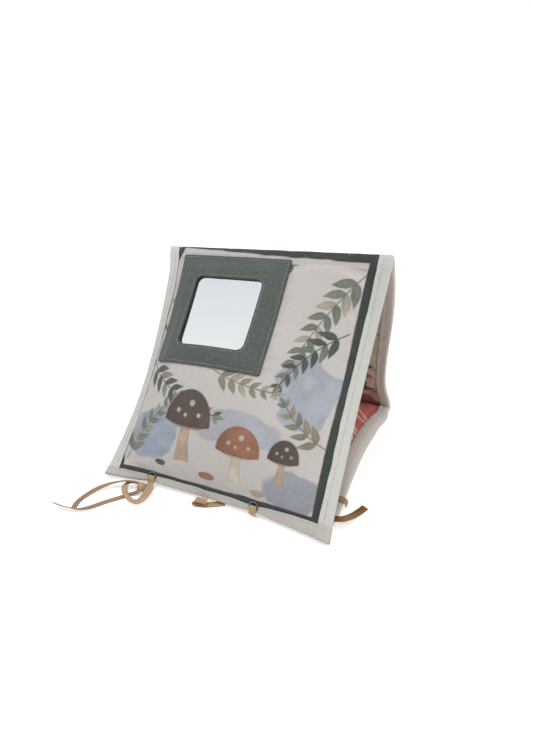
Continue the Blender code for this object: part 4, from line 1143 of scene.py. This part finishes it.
def canvas_patch():
    """The frame swept round its window: over its outer side to the outer edge, and back underneath."""
    window = rounded_outline(*WINDOW)
    edge = rounded_outline(*PATCH, 0.0012)
    shares = np.concatenate([[0, FACING_SHARE], np.linspace(0.012, 0.12, 10), np.linspace(0.16, 0.84, 22),
                             np.linspace(0.88, 1, 11)])
    section = [(q, 1) for q in shares] + [(q, 0) for q in shares[::-1]]
    count, rings = len(window), len(section)
    patch = cut_cloth("mirror_frame_canvas", count, rings)
    grid = points(patch)
    column = np.round((grid[:, 0] + 0.5) * count).astype(int) % count
    row = np.round((0.5 - grid[:, 1]) * rings).astype(int) % rings
    share, top = np.array(section)[row].T
    place = window[column] * (1 - share[:, None]) + edge[column] * share[:, None]
    x, s = place.T
    wide = np.linalg.norm(edge[column] - window[column], axis=1)
    hem = np.minimum(share, 1 - share) * wide
    low, thick = canvas_top(x, s)
    near = np.clip(hem / CANVAS_ROUNDING, 0, 1)
    round_off = EDGE_SHARE + (1 - EDGE_SHARE) * np.sqrt(near * (2 - near))
    groove = CANVAS_GROOVE * np.exp(-((hem - CANVAS_SEAM_IN) / GROOVE_HALF) ** 2)
    soft = 0.00022 * rough(x * 1000, s * 1000, 9, 311) + 0.00010 * rough(x * 1000, s * 1000, 3.5, 313)
    move(patch, np.stack([x, -s, low + np.where(top > 0, thick * round_off - groove + soft, 0)], -1))
    # Painted shade: the facing round the window and the underside are painted near-black, and the outer edge
    # SHADOW_SHARE of that, for the shadow in the gap round the mirror and along the edge.
    shadow = np.where(top > 0, np.select([share == 0, share == 1], [1, SHADOW_SHARE], 0), 1)[:, None]
    colour = CANVAS_GREEN * (1 - shadow) + CANVAS_SHADOW * shadow
    canvas_colour_and_shade = patch.data.attributes.new("print_and_painted_shade", "FLOAT_COLOR", "POINT")
    canvas_colour_and_shade.data.foreach_set("color", np.column_stack([colour, np.ones(len(x))]).ravel())
    choose(patch)
    bpy.ops.object.mode_set(mode="EDIT")
    bpy.ops.mesh.select_all(action="SELECT")
    bpy.ops.mesh.remove_doubles(threshold=MERGED)
    bpy.ops.mesh.normals_make_consistent(inside=False)
    bpy.ops.object.mode_set(mode="OBJECT")
    return patch


patch = canvas_patch()
patch.data.materials.append(woven("green_canvas", thread=0.0007, depth=0.00012, roughness=0.9, mottle=0.12,
                                  specks=0.4))
lay(patch, "front")
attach(patch, "front_page")
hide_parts("mirror_frame")


def seam_round(cx, cs, width, length, radius):
    """A closed flat seam round a rectangle with round corners."""
    line = rounded_outline(cx, cs, width, length, radius) * (1, -1)
    return np.vstack([line, line[:1]])


def on_canvas(x, s):
    low, thick = canvas_top(x, s)
    return low + thick - CANVAS_GROOVE + CANVAS_THREAD / 3


canvas_seams = [seam_round(*PATCH[:2], PATCH[2] - 2 * CANVAS_SEAM_IN, PATCH[3] - 2 * CANVAS_SEAM_IN, 0.001),
                seam_round(*WINDOW[:2], WINDOW[2] + 2 * CANVAS_SEAM_IN, WINDOW[3] + 2 * CANVAS_SEAM_IN,
                           WINDOW[4] + CANVAS_SEAM_IN)]
THREAD_GREEN = woven("sage_thread", dye(156, 163, 154), thread=0.0002, roughness=0.6, sheen=0.2, mottle=0.02)
stitches("mirror_frame_stitches", canvas_seams, on_canvas, "front", THREAD_GREEN,
         CANVAS_THREAD)


# Eyelets. Small turned metal rings, blackened, with a painted highlight along the outer line of their rims. Each
# goes through the page and its end tape, has a flange on both sides, and holds the tie ribbon in its bore.

EYELET_INSET, EYELET_BORE, EYELET_BARREL, EYELET_FLANGE = 0.0070, 0.0024, 0.0027, 0.0033
EYELET_FLANGE_THICKNESS, EYELET_RECESS, EYELET_ROUNDING = 0.0005, 0.0006, 0.00016
BOUND_HALF = EDGE_HALF + GAP + TAPE
# The painted glint runs round the rim between these two radii.
RIM_GLINT_FROM, RIM_GLINT_TO = 0.0030, 0.0033


def blackened():
    """Black metal with a painted highlight: paler where the rim's own attribute says that it is outermost."""
    mat, shader, add = new_material("blackened_metal")
    shader.inputs["Metallic"].default_value = 0.6
    ring = add("Attribute", attribute_name="ring").outputs["Vector"]
    away = add("VectorMath", {0: ring}, operation="LENGTH").outputs["Value"]
    scratch_and_glint_noise = add("TexNoise", {"Vector": ring, "Scale": 900.0, "Detail": 3.0}).outputs["Fac"]
    # Painted highlight: a paler line round the outermost rim, broken by the noise.
    painted_glint = add("MapRange", {"Value": away, "From Min": RIM_GLINT_FROM, "From Max": RIM_GLINT_TO})
    painted_glint = add("Math", {0: painted_glint.outputs[0], 1: scratch_and_glint_noise}, operation="MULTIPLY")
    tint_with_painted_light = add("MixRGB", {0: painted_glint.outputs[0], 1: (0.006, 0.006, 0.006, 1), 2: (0.26, 0.26, 0.25, 1)})
    mat.node_tree.links.new(tint_with_painted_light.outputs[0], shader.inputs["Base Color"])
    dull = add("MapRange", {"Value": scratch_and_glint_noise, "To Min": 0.30, "To Max": 0.55})
    mat.node_tree.links.new(dull.outputs[0], shader.inputs["Roughness"])
    return mat


def select_where(piece, chosen):
    """Selects the piece's faces that chosen gives, and leaves it in edit mode."""
    bpy.ops.object.mode_set(mode="EDIT")
    bpy.ops.mesh.select_all(action="DESELECT")
    bpy.ops.mesh.select_mode(type="FACE")
    bpy.ops.object.mode_set(mode="OBJECT")
    for face in piece.data.polygons:
        face.select = chosen(face)
    bpy.ops.object.mode_set(mode="EDIT")


def turned_eyelet(name):
    """A barrel whose two ends are drawn out to flanges and recessed again to the bore."""
    bpy.ops.object.select_all(action="DESELECT")
    bpy.ops.mesh.primitive_cylinder_add(vertices=36, radius=EYELET_BARREL, depth=2 * (BOUND_HALF + GAP))
    ring = bpy.context.object
    ring.name = name
    for up in (1, -1):
        select_where(ring, lambda face: face.normal.z * up > 0.9)
        bpy.ops.mesh.extrude_region_move()
        wide = EYELET_FLANGE / EYELET_BARREL
        bpy.ops.transform.resize(value=(wide, wide, 1))
        out, back = (0, 0, up * EYELET_FLANGE_THICKNESS), (0, 0, -up * EYELET_RECESS)
        bpy.ops.mesh.extrude_region_move(TRANSFORM_OT_translate={"value": out})
        bpy.ops.mesh.inset(thickness=EYELET_FLANGE - EYELET_BORE)
        bpy.ops.mesh.extrude_region_move(TRANSFORM_OT_translate={"value": back})
        bpy.ops.object.mode_set(mode="OBJECT")
    rim = ring.modifiers.new("rounded_rim", "BEVEL")
    rim.width = EYELET_ROUNDING
    rim.segments = 2
    rim.angle_limit = math.radians(40)
    apply_all(ring)
    kept = ring.data.attributes.new("ring", "FLOAT_VECTOR", "POINT")
    kept.data.foreach_set("vector", (points(ring) * (1, 1, 0)).ravel())
    return ring


BLACKENED = blackened()
for page_name, foot_s, inward in (("front", FRONT_LENGTH, -1), ("base", 0, 1)):
    for x, side_name in zip(EYELET_X, ("left", "right")):
        eyelet = turned_eyelet(f"{page_name}_{side_name}_ring")
        move(eyelet, points(eyelet) + np.array([x, -(foot_s + inward * EYELET_INSET), 0]))
        eyelet.data.materials.append(BLACKENED)
        lay(eyelet, page_name)
        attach(eyelet, page_name + "_page")
        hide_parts(f"{page_name}_{side_name}_eyelet")


# Ribbon. Tan satin, 6 mm wide, joins the two free ends at their eyelets and is tied on the left. It comes
# out over the foot, is pulled into a small knot with one loop, and its two tails lie on the floor.

RIBBON_WIDTH, RIBBON_THICKNESS, RIBBON_STEP = 0.0060, 0.0005, 0.0010
RIBBON_CUP = 0.00035          # how much its edges curl back
TAPE_SHOULDER = 0.0013        # from the foot's outermost line to where the tape lies flat
UPWARD, RIGHTWARD = (0, 0, 1), (1, 0, 0)
TILTED_FRONT, TILTED_BACK = (0, -0.6, 0.8), (0, 0.5, 0.9)


def smooth_route(rows, step):
    """Catmull-Rom curve through given rows of numbers, sampled about every step along it."""
    rows = [np.array(row, float) for row in rows]
    ends = [2 * rows[0] - rows[1]] + rows + [2 * rows[-1] - rows[-2]]
    made = []
    for a, b, c, d in zip(ends, ends[1:], ends[2:], ends[3:]):
        pieces = max(2, round(float(np.linalg.norm((c - b)[:3])) / step))
        for k in range(pieces):
            t = k / pieces
            made.append(0.5 * (2 * b + (c - a) * t + (2 * a - 5 * b + 4 * c - d) * t * t +
                               (3 * b - a - 3 * c + d) * t ** 3))
    return np.array(made + [rows[-1]])


def satin(name, colour, seed):
    """Satin: smooth and shiny, with fine threads across, a firmer edge and slow changes of tone along it."""
    mat, shader, add = new_material(name)
    shader.inputs["Sheen Weight"].default_value = 0.12
    shader.inputs["Sheen Roughness"].default_value = 0.35
    flat = add("Attribute", attribute_name="flat").outputs["Vector"]
    threads = add("TexWave", {"Vector": flat, "Scale": 700.0, "Distortion": 0.8, "Detail": 1.0},
                  wave_type="BANDS", bands_direction="Y")
    stretched = add("Mapping", {"Vector": flat, "Location": (seed, seed, 0), "Scale": (260, 26, 1)})
    streaks = add("TexNoise", {"Vector": stretched.outputs[0], "Scale": 1.0, "Detail": 3.0})
    apart = add("SeparateXYZ", {0: flat})
    away = add("Math", {0: apart.outputs["X"]}, operation="ABSOLUTE")
    edge = add("MapRange", {"Value": away.outputs[0], "From Min": 0.0024, "From Max": 0.0029})
    tone = add("MapRange", {"Value": streaks.outputs["Fac"], "From Min": 0.3, "From Max": 0.7,
                            "To Min": 0.84, "To Max": 1.16})
    tone = add("Math", {0: edge.outputs[0], 1: -0.14, 2: tone.outputs[0]}, operation="MULTIPLY_ADD")
    base = add("RGB")
    base.outputs[0].default_value = (*colour, 1)
    shaded = add("VectorMath", {0: base.outputs[0], "Scale": tone.outputs[0]}, operation="SCALE")
    mat.node_tree.links.new(shaded.outputs[0], shader.inputs["Base Color"])
    gloss = add("MapRange", {"Value": streaks.outputs["Fac"], "To Min": 0.30, "To Max": 0.48})
    mat.node_tree.links.new(gloss.outputs[0], shader.inputs["Roughness"])
    bump = add("Bump", {"Height": threads.outputs["Fac"], "Distance": 0.00002, "Strength": 0.7})
    mat.node_tree.links.new(bump.outputs[0], shader.inputs["Normal"])
    return mat


def ribbon(name, route, faces, mat, widths=None, body="front_page"):
    """A flat ribbon along a route, its face turned the given way at each point, and its middle line."""
    widths = widths or [RIBBON_WIDTH] * len(route)
    rows = smooth_route([(*p, *f, w) for p, f, w in zip(route, faces, widths)], RIBBON_STEP)
    middle = rows[:, :3]
    run = np.gradient(middle, axis=0)
    run /= np.linalg.norm(run, axis=1, keepdims=True)
    look = rows[:, 3:6] - run * (rows[:, 3:6] * run).sum(1, keepdims=True)
    look /= np.linalg.norm(look, axis=1, keepdims=True)
    wide = np.cross(run, look)
    along = np.concatenate([[0], np.cumsum(np.linalg.norm(np.diff(middle, axis=0), axis=1))])
    piece = cut_cloth(name, 8, len(rows) - 1)
    grid = points(piece)
    row = np.round((0.5 - grid[:, 1]) * (len(rows) - 1)).astype(int)
    across_share = grid[:, 0] * 2
    move(piece, np.stack([across_share * RIBBON_WIDTH / 2, -along[row], 0 * along[row]], -1))
    keep_flat(piece)
    cup = RIBBON_CUP * (across_share ** 2 - 0.4)
    aside = wide[row] * (across_share * rows[row, 6] / 2)[:, None]
    move(piece, middle[row] + aside + look[row] * -cup[:, None])
    thick = piece.modifiers.new("thickness", "SOLIDIFY")
    thick.thickness = RIBBON_THICKNESS
    thick.offset = 0
    choose(piece)
    apply_all(piece)
    bpy.ops.object.shade_smooth_by_angle(angle=SMOOTH_ANGLE)
    piece.data.materials.append(mat)
    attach(piece, body)
    return piece, [tuple(p) for p in middle]


def free_ribbon(name, node, route, faces, mat, length, far_end, widths=None, body="front_page", **tied):
    """A ribbon along its route, in place of the model's own piece, which it hides; length is not used."""
    piece, path = ribbon(name, route, faces, mat, widths, body)
    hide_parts(node)


def tie_route(x, distances, heights):
    """Down over the foot tape, at distances in from the foot and heights over the page's middle."""
    flat = np.array([(x, d - FRONT_LENGTH, w) for d, w in zip(distances, heights)])
    route = on_page("front", flat)
    out = route - on_page("front", flat * (1, 1, 0))
    return [Vector(p) for p in route], [Vector(o).normalized() for o in out]


# One tan satin in three tones of painted light and shade: lighter on the ties and knot over the foot, browner on
# the tails on the floor, darkest on the right tail.
LIGHT_SATIN = satin("satin_light", dye(172, 145, 110), 3.0)
BROWN_SATIN = satin("satin_brown", dye(147, 116, 84), 7.0)
DARK_SATIN = satin("satin_dark", dye(118, 74, 24), 11.0)

KNOT_WIDTH, KNOT_DEPTH, KNOT_HEIGHT = 0.0090, 0.0070, 0.0074
KNOT_CENTRE = Vector((-0.0593, -0.1157, 0.0045))
LEFT_TIE_END = Vector((-0.0538, -0.1132, 0.0050))
KNOT_WAIST_SHARE = 0.18       # how far the crossing turn draws the knot in at its middle
WRAP_WIDTH, WRAP_POINTS, WRAP_SWAY = 0.0046, 15, 0.0006

clear = BOUND_HALF + GAP + EYELET_FLANGE_THICKNESS + GAP + RIBBON_THICKNESS / 2
gathered = 2 * EYELET_BORE    # the ribbon's width in the eyelet
in_bore = BOUND_HALF + GAP + RIBBON_THICKNESS
down = [EYELET_INSET + 0.0010, EYELET_INSET - 0.0006, EYELET_INSET / 2, TAPE_SHOULDER]
heights = [in_bore, clear, clear, clear]
route, looks = tie_route(EYELET_X[0], down, heights)
route.append(LEFT_TIE_END)
looks[-1:] = [Vector(TILTED_FRONT), Vector(UPWARD)]
left_tie = ribbon("left_tie", route, looks, LIGHT_SATIN, [gathered] + [RIBBON_WIDTH] * 4)[0]
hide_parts("left_tie_ribbon")

down += [-RIBBON_THICKNESS, -TAPE_SHOULDER - RIBBON_THICKNESS]
route, looks = tie_route(EYELET_X[1], down, heights + [BOUND_HALF, BOUND_HALF / 4])
right_tie = ribbon("right_tie", route, looks, LIGHT_SATIN, [gathered] + [RIBBON_WIDTH] * 5)[0]
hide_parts("right_tie_ribbon")

bpy.ops.object.select_all(action="DESELECT")
bpy.ops.mesh.primitive_uv_sphere_add(segments=40, ring_count=24, radius=1)
knot = bpy.context.object
knot.name = "knot"
ball = points(knot)
ring = np.sqrt(np.clip(1 - ball[:, 0] ** 2, 0, 1))
turn = np.arctan2(ball[:, 2], ball[:, 1])
waist = 1 - KNOT_WAIST_SHARE * ring ** 6
folds = 1 + 0.07 * np.cos(5 * turn + 4 * ball[:, 0]) * ring
move(knot, np.stack([ball[:, 0] * KNOT_WIDTH / 2, ball[:, 1] * waist * folds * KNOT_DEPTH / 2,
                     ball[:, 2] * waist * folds * KNOT_HEIGHT / 2], -1))
keep_flat(knot)
move(knot, points(knot) + np.array(KNOT_CENTRE))
choose(knot)
bpy.ops.object.shade_smooth()
knot.data.materials.append(LIGHT_SATIN)
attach(knot, "front_page")
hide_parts("left_knot")

wrap_depth, wrap_height = ((size * (1 - KNOT_WAIST_SHARE) + RIBBON_THICKNESS) / 2
                           for size in (KNOT_DEPTH, KNOT_HEIGHT))
wrap_looks = [(0, math.cos(a), math.sin(a)) for a in np.radians(np.linspace(0, 350, WRAP_POINTS))]
wrap = [KNOT_CENTRE + Vector((2 * WRAP_SWAY * c * s, c * wrap_depth, s * wrap_height)) for _, c, s in wrap_looks]
knot_wrap = ribbon("knot_wrap", wrap, wrap_looks, LIGHT_SATIN, [WRAP_WIDTH] * WRAP_POINTS)[0]

LOOP_ROUTE = [(-0.0641, -0.1137, 0.0054), (-0.0696, -0.1148, 0.0055), (-0.0729, -0.1172, 0.0050),
              (-0.0724, -0.1213, 0.0040), (-0.0692, -0.1252, 0.0032), (-0.0638, -0.1286, 0.0027),
              (-0.0577, -0.1306, 0.0027), (-0.0527, -0.1305, 0.0032), (-0.0502, -0.1276, 0.0042),
              (-0.0499, -0.1229, 0.0050), (-0.0506, -0.1176, 0.0058), (-0.0515, -0.1133, 0.0062)]
LOOP_FACES = [(0, 0.4, 0.9), (0, 0.3, 1), (-0.3, 0, 1), UPWARD, UPWARD, (0.1, -0.3, 1), TILTED_FRONT,
              (0.4, -0.6, 0.7), (0.6, -0.5, 0.7), (0.6, -0.5, 0.7), (0.4, -0.6, 0.7), (0.2, -0.6, 0.8)]
LOOP_WIDTHS = [0.0048, 0.0050, 0.0052, 0.0050, 0.0046, 0.0038, 0.0032, 0.0036, 0.0050, 0.0058, 0.0060, 0.0060]
free_ribbon("left_loop", "left_loop_ribbon", LOOP_ROUTE, LOOP_FACES, LIGHT_SATIN, 0.0559, "knot", LOOP_WIDTHS,
            with_pieces=[knot, knot_wrap])

UPPER_TAIL_ROUTE = [(-0.0628, -0.1152, 0.0072), (-0.0680, -0.1158, 0.0074), (-0.0733, -0.1171, 0.0070),
                    (-0.0790, -0.1193, 0.0060), (-0.0849, -0.1227, 0.0046), (-0.0897, -0.1270, 0.0034),
                    (-0.0932, -0.1322, 0.0024), (-0.0956, -0.1378, 0.0014), (-0.0970, -0.1436, 0.0008),
                    (-0.0967, -0.1492, 0.0010), (-0.0954, -0.1536, 0.0008), (-0.0944, -0.1566, 0.0004)]
UPPER_TAIL_FACES = [TILTED_BACK] * 3 + [(0, 0.45, 1), (0, 0.35, 1), (0, 0.2, 1)] + [UPWARD] * 6
UPPER_TAIL_WIDTHS = [0.0050] * 6 + [0.0048, 0.0046] + [0.0044] * 4
free_ribbon("left_upper_tail", "left_upper_tail_ribbon", UPPER_TAIL_ROUTE, UPPER_TAIL_FACES, BROWN_SATIN, 0.0620,
            "bare", UPPER_TAIL_WIDTHS)

LOWER_TAIL_ROUTE = [(-0.0588, -0.1190, 0.0036), (-0.0605, -0.1208, 0.0025), (-0.0624, -0.1216, 0.0014),
                    (-0.0652, -0.1234, 0.0006), (-0.0684, -0.1276, 0.0004), (-0.0717, -0.1322, 0.0004),
                    (-0.0751, -0.1365, 0.0004),
                    (-0.0787, -0.1417, 0.0004), (-0.0818, -0.1471, 0.0007), (-0.0849, -0.1523, 0.0016),
                    (-0.0888, -0.1565, 0.0026), (-0.0944, -0.1591, 0.0034), (-0.1013, -0.1605, 0.0038),
                    (-0.1090, -0.1612, 0.0044)]
LOWER_TAIL_FACES = [TILTED_FRONT, (0, -0.4, 0.9), (0, -0.1, 1), *[UPWARD] * 5, (0, 0.1, 1), (0, 0.4, 1),
                    (0.1, 0.7, 0.8), *[(0.2, 0.8, 0.7)] * 3]
LOWER_TAIL_WIDTHS = [0.0036, 0.0042] + [0.0046] * 12
free_ribbon("left_lower_tail", "left_lower_tail_ribbon", LOWER_TAIL_ROUTE, LOWER_TAIL_FACES, BROWN_SATIN, 0.0705,
            "bare", LOWER_TAIL_WIDTHS)

MIDDLE_LOOP_ROUTE = [(0.0104, -0.0984, 0.0014), (0.0040, -0.1026, 0.0007), (-0.0020, -0.1060, 0.0006),
                     (-0.0068, -0.1082, 0.0007), (-0.0100, -0.1094, 0.0013), (-0.0118, -0.1098, 0.0029),
                     (-0.0112, -0.1094, 0.0045), (-0.0086, -0.1086, 0.0051), (-0.0050, -0.1078, 0.0050),
                     (-0.0014, -0.1070, 0.0046)]
MIDDLE_LOOP_FACES = [UPWARD] * 4 + [(0.3, 0, 1), RIGHTWARD, (0.7, 0, -0.7)] + [(0, 0, -1)] * 3
free_ribbon("middle_loop", "middle_loop_ribbon", MIDDLE_LOOP_ROUTE, MIDDLE_LOOP_FACES, LIGHT_SATIN, 0.0379,
            "object")

SIDE_ROUTE = [(0.0640, -0.0572, 0.0082), (0.0710, -0.0576, 0.0080), (0.0780, -0.0580, 0.0078),
              (0.0850, -0.0583, 0.0075), (0.0915, -0.0586, 0.0074), (0.0955, -0.0588, 0.0074),
              (0.0986, -0.0587, 0.0064), (0.0998, -0.0584, 0.0046), (0.1002, -0.0580, 0.0026)]
SIDE_FACES = [UPWARD] * 5 + [(0.3, 0, 1), (0.8, 0, 0.6), RIGHTWARD, RIGHTWARD]
free_ribbon("side_ribbon", "base_side_ribbon", SIDE_ROUTE, SIDE_FACES, BROWN_SATIN, 0.0391, "bare",
            body="base_page")

BASE_TAIL_ROUTE = [(0.0772, -0.0805, 0.0084), (0.0835, -0.0823, 0.0084), (0.0903, -0.0831, 0.0084),
                   (0.0959, -0.0833, 0.0084), (0.0999, -0.0822, 0.0084), (0.1030, -0.0791, 0.0072),
                   (0.1053, -0.0741, 0.0050), (0.1075, -0.0682, 0.0027), (0.1096, -0.0622, 0.0011),
                   (0.1119, -0.0567, 0.0006), (0.1138, -0.0521, 0.0008)]
free_ribbon("right_tail", "base_tail_ribbon", BASE_TAIL_ROUTE, [UPWARD] * len(BASE_TAIL_ROUTE), DARK_SATIN,
            0.0580, "bare", body="base_page")
